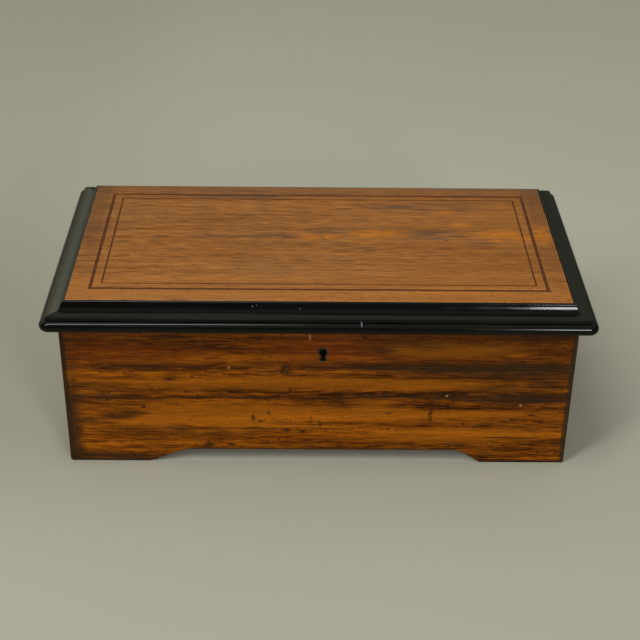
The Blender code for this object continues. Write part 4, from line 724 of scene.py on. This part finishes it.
def lathe(profile, axis, centre, segments=ROUND):
    """Turn a profile of (along, radius) points about an axis; a profile off the axis is a ring."""
    mesh = bmesh.new()
    rings = []
    for along, radius in profile:
        if radius == 0.0:
            rings.append([mesh.verts.new(on_axis(axis, along, *centre))])
            continue
        ring = []
        for k in range(segments):
            angle = 2 * math.pi * k / segments
            first = centre[0] + radius * math.cos(angle)
            second = centre[1] + radius * math.sin(angle)
            ring.append(mesh.verts.new(on_axis(axis, along, first, second)))
        rings.append(ring)
    pairs = len(rings) - 1 if len(rings[0]) == 1 else len(rings)
    for i in range(pairs):
        one, two = rings[i], rings[(i + 1) % len(rings)]
        if len(one) == len(two):
            bridge(mesh, one, two)
            continue
        for k in range(segments):
            m = (k + 1) % segments
            mesh.faces.new((one[0], two[m], two[k]) if len(one) == 1 else (one[k], one[m], two[0]))
    return mesh


def add_mesh(target, extra):
    """Put the faces of one bmesh into another."""
    data = bpy.data.meshes.new("extra")
    extra.to_mesh(data)
    extra.free()
    target.from_mesh(data)
    bpy.data.meshes.remove(data)


def soften(item, bevel, segments=2, angle=30):
    """Round a piece's sharp edges and keep its flat faces flat."""
    if bevel > 0:
        edge = item.modifiers.new("edges", "BEVEL")
        edge.width = bevel
        edge.segments = segments
        edge.limit_method = "ANGLE"
        edge.angle_limit = math.radians(angle)
    weight = item.modifiers.new("shading", "WEIGHTED_NORMAL")
    weight.keep_sharp = True


def placed(name, data):
    """An object of a mesh, lamp or camera, in the scene."""
    item = bpy.data.objects.new(name, data)
    bpy.context.collection.objects.link(item)
    return item


def new_item(name, mesh):
    """An object of a bmesh, its faces turned outwards."""
    bmesh.ops.recalc_face_normals(mesh, faces=mesh.faces)
    data = bpy.data.meshes.new(name)
    mesh.to_mesh(data)
    mesh.free()
    return placed(name, data)


def piece(name, mesh, finish, body, replaced=(), slot=None, bevel=0.0, segments=2, sharp=35, cutters=()):
    """Make an object of a bmesh in row places, which rides on a body and stands for CAD nodes."""
    item = new_item(name, mesh)
    data = item.data
    data.shade_smooth()
    if bevel == 0:
        data.set_sharp_from_angle(angle=math.radians(sharp))
    for material in finish if isinstance(finish, (list, tuple)) else [finish]:
        data.materials.append(material)
    if cutters:
        guides = []
        if bevel > 0:
            soften(item, bevel, segments)
            item.modifiers.remove(item.modifiers["shading"])
        for number, cutter in enumerate(cutters):
            guide = new_item(f"{name}_cut_{number}", cutter)
            guides.append(guide)
            modifier = item.modifiers.new("cut", "BOOLEAN")
            modifier.object = guide
            modifier.operation = "DIFFERENCE"
        bpy.context.view_layer.update()
        cut = bpy.data.meshes.new_from_object(item.evaluated_get(bpy.context.evaluated_depsgraph_get()))
        item.modifiers.clear()
        item.data = cut
        for guide in guides:
            bpy.data.objects.remove(guide)
        cut.set_sharp_from_angle(angle=math.radians(sharp))
        item.modifiers.new("shading", "WEIGHTED_NORMAL").keep_sharp = True
    elif bevel > 0:
        soften(item, bevel, segments)
    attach(item, body)
    if replaced:
        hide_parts(*replaced)
    return item


def dress(node, finish, bevel=0.0002, segments=2):
    """Give a CAD node its finish, join its split faces and round its edges."""
    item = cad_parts[node]
    data = item.data
    for name in ("custom_normal", "sharp_edge", "sharp_face"):
        if name in data.attributes:
            data.attributes.remove(data.attributes[name])
    data.shade_smooth()
    data.materials.clear()
    data.materials.append(finish)
    weld = item.modifiers.new("weld", "WELD")
    weld.merge_threshold = 0.00001
    soften(item, bevel, segments)
    return item


def arch_rise(bend, steps=20):
    """Heights of an arch's curve from its foot up, in equal steps along it."""
    heights = []
    for k in range(steps + 1):
        share = k / steps
        soft = (1 - math.cos(math.pi * share)) / 2
        sharp = math.sin(0.5 * math.pi * share)
        heights.append((share, ARCH_HEIGHT * (bend * sharp + (1 - bend) * soft)))
    return heights


def arch_edge(foot_low, foot_high, low, high):
    """Bottom edge of a board with two feet and a shallow arch, from low to high."""
    points = arc((low + FOOT_CORNER, FOOT_CORNER), FOOT_CORNER, math.pi, 1.5 * math.pi, 6)
    flat, run, bend = foot_low
    for share, lift in arch_rise(bend):
        points.append((low + flat + run * share, lift))
    flat, run, bend = foot_high
    for share, lift in reversed(arch_rise(bend)):
        points.append((high - flat - run * share, lift))
    points += arc((high - FOOT_CORNER, FOOT_CORNER), FOOT_CORNER, 1.5 * math.pi, 2 * math.pi, 6)
    return points


def liner_outline(grow):
    """Keyhole shape: a round head and a narrower foot, grown by a margin."""
    head = LINER_WIDTH / 2 + grow
    foot = LINER_FOOT_WIDTH / 2 + grow
    head_z = CASE_TOP - KEYHOLE_DROP - LINER_WIDTH / 2
    foot_z = CASE_TOP - KEYHOLE_DROP - LINER_HEIGHT + LINER_FOOT_WIDTH / 2
    neck = math.acos(foot / head)
    points = arc((KEYHOLE_X, head_z), head, -neck, math.pi + neck, 36)
    points += arc((KEYHOLE_X, foot_z), foot, math.pi, 2 * math.pi, 16)
    return points


def case_boards():
    """Front, back and ends with worn edges, the front cut for the keyhole's liner and strip grooves, the
    back for the hinge leaves.
    """
    outline = arch_edge(LEFT_FOOT, RIGHT_FOOT, -HALF, HALF)
    outline += [(HALF, CASE_TOP), (-HALF, CASE_TOP)]
    inner_y = CASE_HIGH.y
    cutters = [
        prism(liner_outline(FIT / 2), "Y", FRONT_Y - OVERRUN, FRONT_Y + LINER_DEPTH + FIT),
        prism(liner_outline(-LINER_WALL), "Y", FRONT_Y, inner_y + OVERRUN),
    ]
    for side in (-1, 1):
        groove = side * (HALF - EDGE_STRIP)
        low = (groove - STRIP_GROOVE / 2, FRONT_Y - OVERRUN, -OVERRUN)
        high = (groove + STRIP_GROOVE / 2, FRONT_Y + STRIP_GROOVE, CASE_TOP + OVERRUN)
        cutters.append(box_mesh(low, high))
    mesh = prism(outline, "Y", FRONT_Y, inner_y)
    board = {"slot": "front_wood", "bevel": BOARD_EDGE, "segments": 3}
    piece("front_board", mesh, FRONT_WOOD, "case", ["case_front"], cutters=cutters, **board)

    mortises = []
    for side in (-1, 1):
        middle = side * HINGE_FROM_MIDDLE
        reach = HINGE_LENGTH / 2 + FIT
        low = (middle - reach, BACK_Y - LEAF_WIDTH - FIT, CASE_TOP - LEAF_THICKNESS - 2 * FIT)
        mortises.append(box_mesh(low, (middle + reach, BACK_Y + OVERRUN, CASE_TOP + OVERRUN)))
    mesh = prism(outline, "Y", BACK_LOW.y, BACK_Y)
    piece("back_board", mesh, BACK_WOOD, "case", ["case_back"], cutters=mortises, **board)

    for word in ("left", "right"):
        node = f"case_{word}_end"
        low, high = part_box(node)
        outline = arch_edge(END_FOOT, END_FOOT, low.y, high.y)
        outline += [(high.y, CASE_TOP), (low.y, CASE_TOP)]
        mesh = prism(outline, "X", low.x, high.x)
        piece(f"{word}_end_board", mesh, END_WOOD, "case", [node], **board)


def keyhole_liner():
    """Inset metal ring with a rounded lip."""
    front = FRONT_Y - LINER_STAND
    back = FRONT_Y + LINER_DEPTH
    sections = ((0.0, back), (0.0, front + 0.0003), (-0.00022, front), (-0.00062, front),
                (-LINER_WALL, front + 0.0004), (-LINER_WALL, back))
    mesh = bmesh.new()
    loops = [[mesh.verts.new((x, y, z)) for x, z in liner_outline(grow)] for grow, y in sections]
    for one, two in zip(loops, loops[1:] + loops[:1]):
        bridge(mesh, one, two)
    piece("keyhole_ring", mesh, OLD_BRASS, "case", ["keyhole_liner"], "brass", sharp=50)


def moulding_profile():
    """Closed profile of (outward, down) points, from the panel's edge over the nose."""
    points = [(FIT / 2, 0.0)]
    points += arc((LIP_RUN, SHOULDER_RADIUS), SHOULDER_RADIUS, -math.pi / 2, 0.0, 8)
    top = (LIP_RUN + SHOULDER_RADIUS, SHOULDER_RADIUS)
    foot = (top[0] + STEEP_RUN, top[1] + STEEP_DROP)
    points += bowed(top, foot, -STEEP_HOLLOW, 6)
    nose = (MOULDING_WIDTH - NOSE_RADIUS, LID_HEIGHT - NOSE_RISE - NOSE_RADIUS)
    edge = (nose[0] - STEP_RUN, nose[1] - NOSE_RADIUS - STEP_DROP)
    points.append(foot)
    points += bowed(foot, edge, BROAD_BULGE, 10)
    rim = 0.0003
    points += arc((edge[0] - rim, edge[1] + rim), rim, -math.pi / 2 + 0.3, 0.2, 3)
    points += arc(nose, NOSE_RADIUS, -math.pi / 2, math.pi / 2, 30)
    under = nose[0] - UNDER_BACK
    points += [(under, LID_HEIGHT - NOSE_RISE), (under, LID_HEIGHT), (FIT / 2, LID_HEIGHT)]
    return points


def moulding(half_run, half_across, facing):
    """One mitred length of the lid's moulding; facing turns it from the front by quarter turns."""
    profile = moulding_profile()
    corner_start = MOULDING_WIDTH - LID_CORNER
    steps = 10
    spans = 48
    mesh = bmesh.new()

    def section(side, turn, pull):
        ring = []
        for out, down in profile:
            radius = max(out - corner_start, 0.0)
            hub = out - radius
            along = (half_run - MITRE_GAP + hub + radius * math.sin(turn)) * pull
            across = half_across + hub + radius * math.cos(turn)
            ring.append(mesh.verts.new((side * along, -across, LID_TOP - down)))
        return ring

    turns = [math.pi / 4 * (1 - k / steps) for k in range(steps + 1)]
    sections = [section(-1, turn, 1.0) for turn in turns]
    sections += [section(-1, 0.0, 1 - 2 * k / spans) for k in range(1, spans)]
    sections += [section(1, turn, 1.0) for turn in reversed(turns)]
    for one, two in zip(sections, sections[1:]):
        bridge(mesh, one, two)
    mesh.faces.new(sections[0])
    mesh.faces.new(sections[-1])
    bmesh.ops.remove_doubles(mesh, verts=mesh.verts, dist=1e-7)
    bmesh.ops.rotate(mesh, verts=mesh.verts, matrix=Matrix.Rotation(facing * math.pi / 2, 3, "Z"))
    return mesh


def hinge_recess(side):
    """Room in the back moulding's underside for one lid leaf and the knuckles."""
    middle = side * HINGE_FROM_MIDDLE
    reach = HINGE_LENGTH / 2 + FIT
    room = KNUCKLE_RADIUS + 2 * FIT
    below = LID_BOTTOM - OVERRUN
    leaf_y = BACK_Y - LEAF_WIDTH
    leaf_top = LID_BOTTOM + LEAF_THICKNESS + FIT
    outline = [
        (leaf_y, below),
        (HINGE_Y + room, below),
        (HINGE_Y + room, HINGE_Z + room),
        (HINGE_Y - room, HINGE_Z + room),
        (HINGE_Y - room, leaf_top),
        (leaf_y, leaf_top),
    ]
    return prism(outline, "X", middle - reach, middle + reach)


def lid_mouldings():
    """The four black lengths round the lid."""
    along, across = PANEL_HIGH.x, PANEL_HIGH.y
    for facing, word in enumerate(("front", "right", "back", "left")):
        run, side = (across, along) if word in ("left", "right") else (along, across)
        cutters = [hinge_recess(-1), hinge_recess(1)] if word == "back" else ()
        mesh = moulding(run, side, facing)
        node = f"lid_moulding_{word}"
        piece(f"{word}_moulding", mesh, LACQUER, "lid", [node], "ebonised", sharp=28, cutters=cutters)


def lid_panel():
    """Veneered panel with two sunk border lines."""
    loops = []
    mesh = bmesh.new()

    def loop(margins, inset, z):
        side, front, back = margins
        low = (PANEL_LOW.x + side + inset, PANEL_LOW.y + front + inset)
        high = (PANEL_HIGH.x - side - inset, PANEL_HIGH.y - back - inset)
        loops.append([mesh.verts.new((x, y, z)) for x, y in corners(low, high)])

    flat = (0.0, 0.0, 0.0)
    loop(flat, PANEL_EDGE, PANEL_LOW.z)
    loop(flat, 0.0, PANEL_LOW.z + PANEL_EDGE)
    loop(flat, 0.0, LID_TOP - PANEL_EDGE)
    loop(flat, PANEL_EDGE, LID_TOP)
    inner = tuple(a + b for a, b in zip(OUTER_LINE_MARGINS, INNER_LINE_STEPS))
    finishes = [0, 0, 0]
    for margins, width in ((OUTER_LINE_MARGINS, OUTER_LINE), (inner, INNER_LINE)):
        wall = min(0.0003, width / 4)
        loop(margins, 0.0, LID_TOP)
        loop(margins, wall, LID_TOP - LINE_SINK)
        loop(margins, width - wall, LID_TOP - LINE_SINK)
        loop(margins, width, LID_TOP)
        finishes += [0, 2, 1, 2]
    for (one, two), finish in zip(zip(loops, loops[1:]), finishes):
        bridge(mesh, one, two, finish)
    mesh.faces.new(loops[0])
    mesh.faces.new(loops[-1])
    mesh.faces.ensure_lookup_table()
    mesh.faces[-2].material_index = 3
    finish = [LID_WOOD, LINE_WOOD, LINE_EDGE, INNER_X_WOOD]
    piece("veneered_panel", mesh, finish, "lid", ["lid_panel"], "lid_wood", sharp=20)


def rest_of_nodes():
    """Finishes of the CAD nodes whose shape stays."""
    groups = (
        (INNER_X_WOOD, 0.0005, "case_bottom"),
        (INNER_Y_WOOD, 0.0006, "partition_left partition_right bed_rail_left bed_rail_right"),
        (BRASS, 0.0002, "hinge_case_leaf_left hinge_case_leaf_right"),
        (BRASS, 0.0002, "hinge_lid_leaf_left hinge_lid_leaf_right"),
        (IRON, 0.0003, "lock_body"),
        (BRASS, 0.0003, "lock_striker bedplate comb_base control_bracket winding_lever"),
        (BRASS, 0.0003, "cylinder_bearing_left cylinder_bearing_right"),
        (BRASS, 0.0003, "barrel_bridge_left barrel_bridge_right"),
        (BRASS, 0.0002, "governor_plate_left governor_plate_right governor_cock"),
        (GILT, 0.00008, "great_wheel barrel_wheel worm_wheel"),
        (GILT, 0.0001, "pinned_cylinder barrel_cap fly"),
        (STEEL, 0.0001, "hinge_pin_left hinge_pin_right lock_bolt"),
        (STEEL, 0.0001, "cylinder_arbor barrel_arbor mainspring"),
        (STEEL, 0.00008, "drive_pinion governor_pinion endless_screw ratchet_wheel"),
        (BLUED_STEEL, 0.0001, "comb_screw_1 comb_screw_2 comb_screw_3"),
        (BRIGHT_STEEL, 0.0001, "comb drive_pawl click stop_lever change_lever"),
        (BLACK, 0.0001, "lever_knob"),
        (GLASS, 0.0002, "glass_pane"),
    )
    for finish, bevel, nodes in groups:
        for node in nodes.split():
            dress(node, finish, bevel)


# Movement
AXIS_PLACE = (0.002, 0.0743)            # axis of the cylinder, across the case and up
CYLINDER_RADIUS = 0.0215
COMB_START = -0.0562                    # middle of the first tooth
COMB_TEETH = 48
COMB_PITCH = 0.003
AIR_STEP = 0.0015                       # from one air's row of pins to the next one's
PIN_STEPS = 96                          # places of a pin round the cylinder
PIN_COUNTS = (9, 17)                    # fewest and most pins of one row
PIN_RADIUS = 0.00022
PIN_STAND = 0.0008
PIN_SUNK = 0.0003
PIN_SIDES = 5
PIN_TAPER = 0.7


def cylinder_pins():
    """Rows of fine tapered steel pins on the cylinder, one row for each tooth and air."""
    chance = random.Random(5)
    centre_y, centre_z = AXIS_PLACE
    turns = [2 * math.pi * k / PIN_SIDES for k in range(PIN_SIDES)]
    mesh = bmesh.new()
    for tooth in range(COMB_TEETH):
        for air in (0, 1):
            x = COMB_START + tooth * COMB_PITCH + air * AIR_STEP
            for step in chance.sample(range(PIN_STEPS), chance.randint(*PIN_COUNTS)):
                angle = 2 * math.pi * step / PIN_STEPS
                out = Vector((0.0, math.cos(angle), math.sin(angle)))
                beside = Vector((0.0, -math.sin(angle), math.cos(angle)))
                rings = []
                for stand, radius in ((-PIN_SUNK, PIN_RADIUS), (PIN_STAND, PIN_TAPER * PIN_RADIUS)):
                    middle = Vector((x, centre_y, centre_z)) + out * (CYLINDER_RADIUS + stand)
                    ring = []
                    for turn in turns:
                        across = Vector((math.cos(turn), 0.0, 0.0)) + beside * math.sin(turn)
                        ring.append(mesh.verts.new(middle + across * radius))
                    rings.append(ring)
                bridge(mesh, *rings)
                mesh.faces.new(rings[0])
                mesh.faces.new(rings[1])
    piece("cylinder_pins", mesh, STEEL, "cylinder", slot="steel", sharp=60)


# Screws: radius and height of each head, and its distance from the edges of its part
HINGE_SCREW = (0.0019, 0.0002)
HINGE_SCREW_PLACES = (-0.36, 0.0, 0.36)         # shares of the leaf's length
LOCK_SCREW = (0.0021, 0.0006)
STRIKER_SCREW = (0.0019, 0.0006)
BED_SCREW = (0.0040, 0.0014)
BRACKET_SCREW = (0.0018, 0.0007)
LOCK_INSET = 0.0042
STRIKER_INSET = 0.0045
BED_INSET = 0.0060
BRACKET_INSET = 0.0045
BRACKET_LIFT = 0.0040           # of the lower screws above the bracket's foot
STRIKER_PLATE = 0.0012
BRACKET_PLATE = 0.003
SLOT_SHARE = 0.13               # half width of the slot, as a share of the head's radius
FIRST_SLOT = 0.5                # turn of the first slot, and from each slot to the next
NEXT_SLOT = 1.9
TURNS = {
    "up": Matrix.Identity(4),
    "down": Matrix.Rotation(math.pi, 4, "X"),
    "back": Matrix.Rotation(-math.pi / 2, 4, "X"),
    "right": Matrix.Rotation(math.pi / 2, 4, "Y"),
}


def screws(name, places, size, facing, body, finish):
    """Slotted screw heads with a low dome, each at (x, y, z) on a surface that faces one way."""
    radius, stand = size
    heads = bmesh.new()
    slots = bmesh.new()
    profile = (
        (-0.5 * stand, 0.0),
        (-0.5 * stand, 0.97 * radius),
        (0.40 * stand, radius),
        (0.72 * stand, 0.90 * radius),
        (0.94 * stand, 0.55 * radius),
        (stand, 0.0),
    )
    for number, place in enumerate(places):
        turn = Matrix.Rotation(FIRST_SLOT + NEXT_SLOT * number, 4, "Z")
        matrix = Matrix.Translation(place) @ TURNS[facing] @ turn
        head = lathe(profile, "Z", (0.0, 0.0), 32)
        half = SLOT_SHARE * radius
        groove = box_mesh((-2 * radius, -half, 0.1 * stand), (2 * radius, half, 2 * stand))
        for mesh, target in ((head, heads), (groove, slots)):
            bmesh.ops.recalc_face_normals(mesh, faces=mesh.faces)
            bmesh.ops.transform(mesh, matrix=matrix, verts=mesh.verts)
            add_mesh(target, mesh)
    slot = "brass" if finish is BRASS else "steel"
    piece(name, heads, finish, body, slot=slot, cutters=[slots], sharp=30)


def inner_ends(low, high, inset):
    """Both ends of a box on each axis, drawn in by an inset."""
    return [(start + inset, end - inset) for start, end in zip(low, high)]


def screw_heads():
    """Screws of the hinges, lock, striker, bedplate and control bracket."""
    across = BACK_Y - LEAF_WIDTH / 2
    for word, side in (("left", -1), ("right", 1)):
        xs = [side * HINGE_FROM_MIDDLE + share * HINGE_LENGTH for share in HINGE_SCREW_PLACES]
        for body, z, facing in (("case", CASE_TOP - FIT, "up"), ("lid", LID_BOTTOM, "down")):
            places = [(x, across, z) for x in xs]
            screws(f"hinge_{body}_screws_{word}", places, HINGE_SCREW, facing, body, STEEL)

    low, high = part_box("lock_body")
    xs, _, zs = inner_ends(low, high, LOCK_INSET)
    screws("lock_screws", [(x, high.y, z) for x in xs for z in zs], LOCK_SCREW, "back", "case", BRASS)

    low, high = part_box("lock_striker")
    xs = inner_ends(low, high, STRIKER_INSET)[0]
    places = [(x, (low.y + high.y) / 2, high.z - STRIKER_PLATE) for x in xs]
    screws("striker_screws", places, STRIKER_SCREW, "down", "lid", BRASS)

    low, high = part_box("bedplate")
    xs, ys, _ = inner_ends(low, high, BED_INSET)
    places = [(x, y, high.z) for x in xs for y in ys]
    screws("bedplate_screws", places, BED_SCREW, "up", "case", BLUED_STEEL)

    low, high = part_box("control_bracket")
    ys = inner_ends(low, high, BRACKET_INSET)[1]
    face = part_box("partition_right")[1].x + FIT + BRACKET_PLATE
    places = [(face, y, low.z + BRACKET_LIFT) for y in ys]
    places.append((face, (low.y + high.y) / 2, (low.z + high.z) / 2))
    screws("bracket_screws", places, BRACKET_SCREW, "right", "case", STEEL)


# Spring barrel
BARREL_WALL = 0.002
BARREL_END = 0.0025
BARREL_BORE = 0.0043
BEAD_WIDTH = 0.0022
BEAD_RISE = 0.0005
RING_LINE = 0.0003              # half width and depth of an engraved ring
ENGRAVED = (0.30, 0.70)         # places of the two rings along the barrel
END_STEP = 0.0004


def spring_barrel():
    """Turned drum with a bead at each rim, two engraved rings and a stepped end face."""
    low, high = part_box("spring_barrel")
    centre = ((low.y + high.y) / 2, (low.z + high.z) / 2)
    radius = (high.y - low.y) / 2
    inner = radius - BARREL_WALL
    dip = radius - BEAD_RISE
    bead = (
        (0.0, radius - 0.0006),
        (0.0004, radius - 0.0001),
        (BEAD_WIDTH / 2, radius),
        (BEAD_WIDTH - 0.0004, radius - 0.0001),
        (BEAD_WIDTH, dip),
    )
    profile = [(low.x, inner)]
    profile += [(low.x + along, out) for along, out in bead]
    for share in ENGRAVED:
        middle = low.x + share * (high.x - low.x)
        profile += [(middle - RING_LINE, dip), (middle, dip - RING_LINE), (middle + RING_LINE, dip)]
    profile += [(high.x - along, out) for along, out in reversed(bead)]
    step = high.x - END_STEP
    profile += [(high.x, 0.80 * radius), (step, 0.78 * radius)]
    profile += [(step, 0.40 * radius), (high.x, 0.38 * radius)]
    profile += [(high.x, BARREL_BORE), (high.x - BARREL_END, BARREL_BORE), (high.x - BARREL_END, inner)]
    mesh = lathe(profile, "X", centre, 96)
    piece("turned_barrel", mesh, GILT, "barrel", ["spring_barrel"], "brass", sharp=24)


# Glass lid's frame
BAR_CHAMFER = 0.0030
BAR_GROOVE = 0.0004
BAR_LINE_PLACE = 0.40           # share of the bar's width
BAR_BEVEL = 0.0007
PIVOT_FROM_BACK = 0.004
PIVOT_RADIUS = 0.0015
PIVOT_EDGE = 0.0003
PIVOT_SUNK = 0.001


def glass_frame():
    """Four mitred bars with a chamfer towards the pane, and the two pivots."""
    low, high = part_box("glass_lid_frame")
    pane_low, pane_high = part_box("glass_pane")
    bar = pane_low.y - FIT - low.y
    outer_low = (pane_low.x - FIT - bar, low.y)
    outer_high = (pane_high.x + FIT + bar, high.y)
    line = BAR_LINE_PLACE * bar
    sections = (
        (BAR_BEVEL, high.z),
        (line, high.z),
        (line + BAR_GROOVE, high.z - BAR_GROOVE),
        (line + 2 * BAR_GROOVE, high.z),
        (bar - BAR_CHAMFER, high.z),
        (bar, high.z - 0.6 * BAR_CHAMFER),
        (bar, low.z + BAR_BEVEL),
        (bar - BAR_BEVEL, low.z),
        (BAR_BEVEL, low.z),
        (0.0, low.z + BAR_BEVEL),
        (0.0, high.z - BAR_BEVEL),
    )
    mesh = bmesh.new()
    loops = []
    for inset, z in sections:
        places = corners([place + inset for place in outer_low], [place - inset for place in outer_high])
        loops.append([mesh.verts.new((x, y, z)) for x, y in places])
    for one, two in zip(loops, loops[1:] + loops[:1]):
        bridge(mesh, one, two)
    piece("glass_lid_bars", mesh, BLACK, "glass_lid", ["glass_lid_frame"], "ebonised", sharp=30)

    pivot = (high.y - PIVOT_FROM_BACK, (low.z + high.z) / 2)
    radius = PIVOT_RADIUS
    mesh = bmesh.new()
    for side, bar_end, tip in ((-1, outer_low[0], low.x), (1, outer_high[0], high.x)):
        start = bar_end - side * PIVOT_SUNK
        edge = tip - side * PIVOT_EDGE
        profile = [(start, 0.0), (start, radius), (edge, radius), (tip, radius - PIVOT_EDGE), (tip, 0.0)]
        add_mesh(mesh, lathe(profile, "X", pivot, 24))
    piece("glass_lid_pivots", mesh, STEEL, "glass_lid", slot="steel", sharp=30)


def floor():
    """Plain pale floor, with painted shade near the front and to the left, and painted light under the
    box.
    """
    finish = Finish("pale_floor", 0.65, specular=0.2)
    tone = finish.noise((3, 3), 3.0, 0.5, place=finish.place)
    far = finish.mix(tone, (0.440, 0.428, 0.340), (0.470, 0.457, 0.365))
    # The nearer floor is darker: painted shade
    near = finish.mix(tone, (0.350, 0.344, 0.272), (0.376, 0.369, 0.294))
    finish.colour(finish.mix(finish.step(finish.y, -0.20, 0.45), near, far))
    # A darker patch to the left of the box: painted shadow
    left = finish.step(finish.x, -0.34, -0.10, 0.55, 0.0)
    beside = finish.step(finish.y, -0.25, -0.02)
    left = finish.times(left, finish.times(beside, finish.step(finish.y, 0.10, 0.45, 1.0, 0.35)))
    finish.paint(left, (0.235, 0.230, 0.155))
    # Lighter floor under the box, between its feet: painted light
    below = finish.step(finish.absolute(finish.x), 0.130, 0.150, 0.7, 0.0)
    below = finish.times(below, finish.fall(finish.absolute(finish.y), 0.100, 0.106))
    finish.paint(below, (0.56, 0.56, 0.46))
    mesh = bmesh.new()
    bmesh.ops.create_circle(mesh, cap_ends=True, segments=64, radius=14.0)
    data = bpy.data.meshes.new("floor")
    mesh.to_mesh(data)
    mesh.free()
    data.materials.append(finish.material)
    placed("floor", data)


def softbox(name, place, target, size, energy, colour=(1.0, 1.0, 1.0)):
    """An area light, its size (across, along), that faces its target."""
    data = bpy.data.lights.new(name, "AREA")
    data.shape = "RECTANGLE"
    data.size, data.size_y = size
    data.energy = energy
    data.color = colour
    item = placed(name, data)
    item.location = place
    item.rotation_mode = "QUATERNION"
    item.rotation_quaternion = (Vector(target) - Vector(place)).to_track_quat("-Z", "Y")


def studio():
    """World, lamps and camera."""
    world = bpy.data.worlds.new("studio")
    bpy.context.scene.world = world
    world.use_nodes = True
    nodes = world.node_tree.nodes
    links = world.node_tree.links
    place = nodes.new("ShaderNodeTexCoord")
    parts = nodes.new("ShaderNodeSeparateXYZ")
    links.new(place.outputs["Generated"], parts.inputs[0])
    ramp = nodes.new("ShaderNodeValToRGB")
    links.new(parts.outputs[2], ramp.inputs[0])
    ramp.color_ramp.elements[0].position = 0.44
    ramp.color_ramp.elements[0].color = (0.165, 0.162, 0.143, 1.0)
    ramp.color_ramp.elements[1].position = 0.68
    ramp.color_ramp.elements[1].color = (0.612, 0.607, 0.569, 1.0)
    links.new(ramp.outputs[0], nodes["Background"].inputs["Color"])
    nodes["Background"].inputs["Strength"].default_value = 1.0

    middle = (0.0, 0.0, 0.08)
    softbox("key_light", (-0.60, -0.72, 1.55), middle, (0.28, 1.9), 18.5)
    softbox("side_light", (0.62, -1.75, 0.80), middle, (0.3, 0.3), 12.0)

    data = bpy.data.cameras.new("camera")
    data.lens = CAMERA_LENS
    data.clip_start = 0.01
    data.clip_end = 50.0
    item = placed("camera", data)
    look = Vector(CAMERA_LOOK).normalized()
    right = Vector(CAMERA_RIGHT)
    right = (right - look * right.dot(look)).normalized()
    up = right.cross(look)
    turn = Matrix((right, up, -look)).transposed().to_4x4()
    item.matrix_world = Matrix.Translation(CAMERA_PLACE) @ turn
    bpy.context.scene.camera = item
    bpy.context.scene.view_settings.view_transform = "Standard"


case_boards()
keyhole_liner()
lid_mouldings()
lid_panel()
rest_of_nodes()
cylinder_pins()
spring_barrel()
glass_frame()
screw_heads()
floor()
studio()
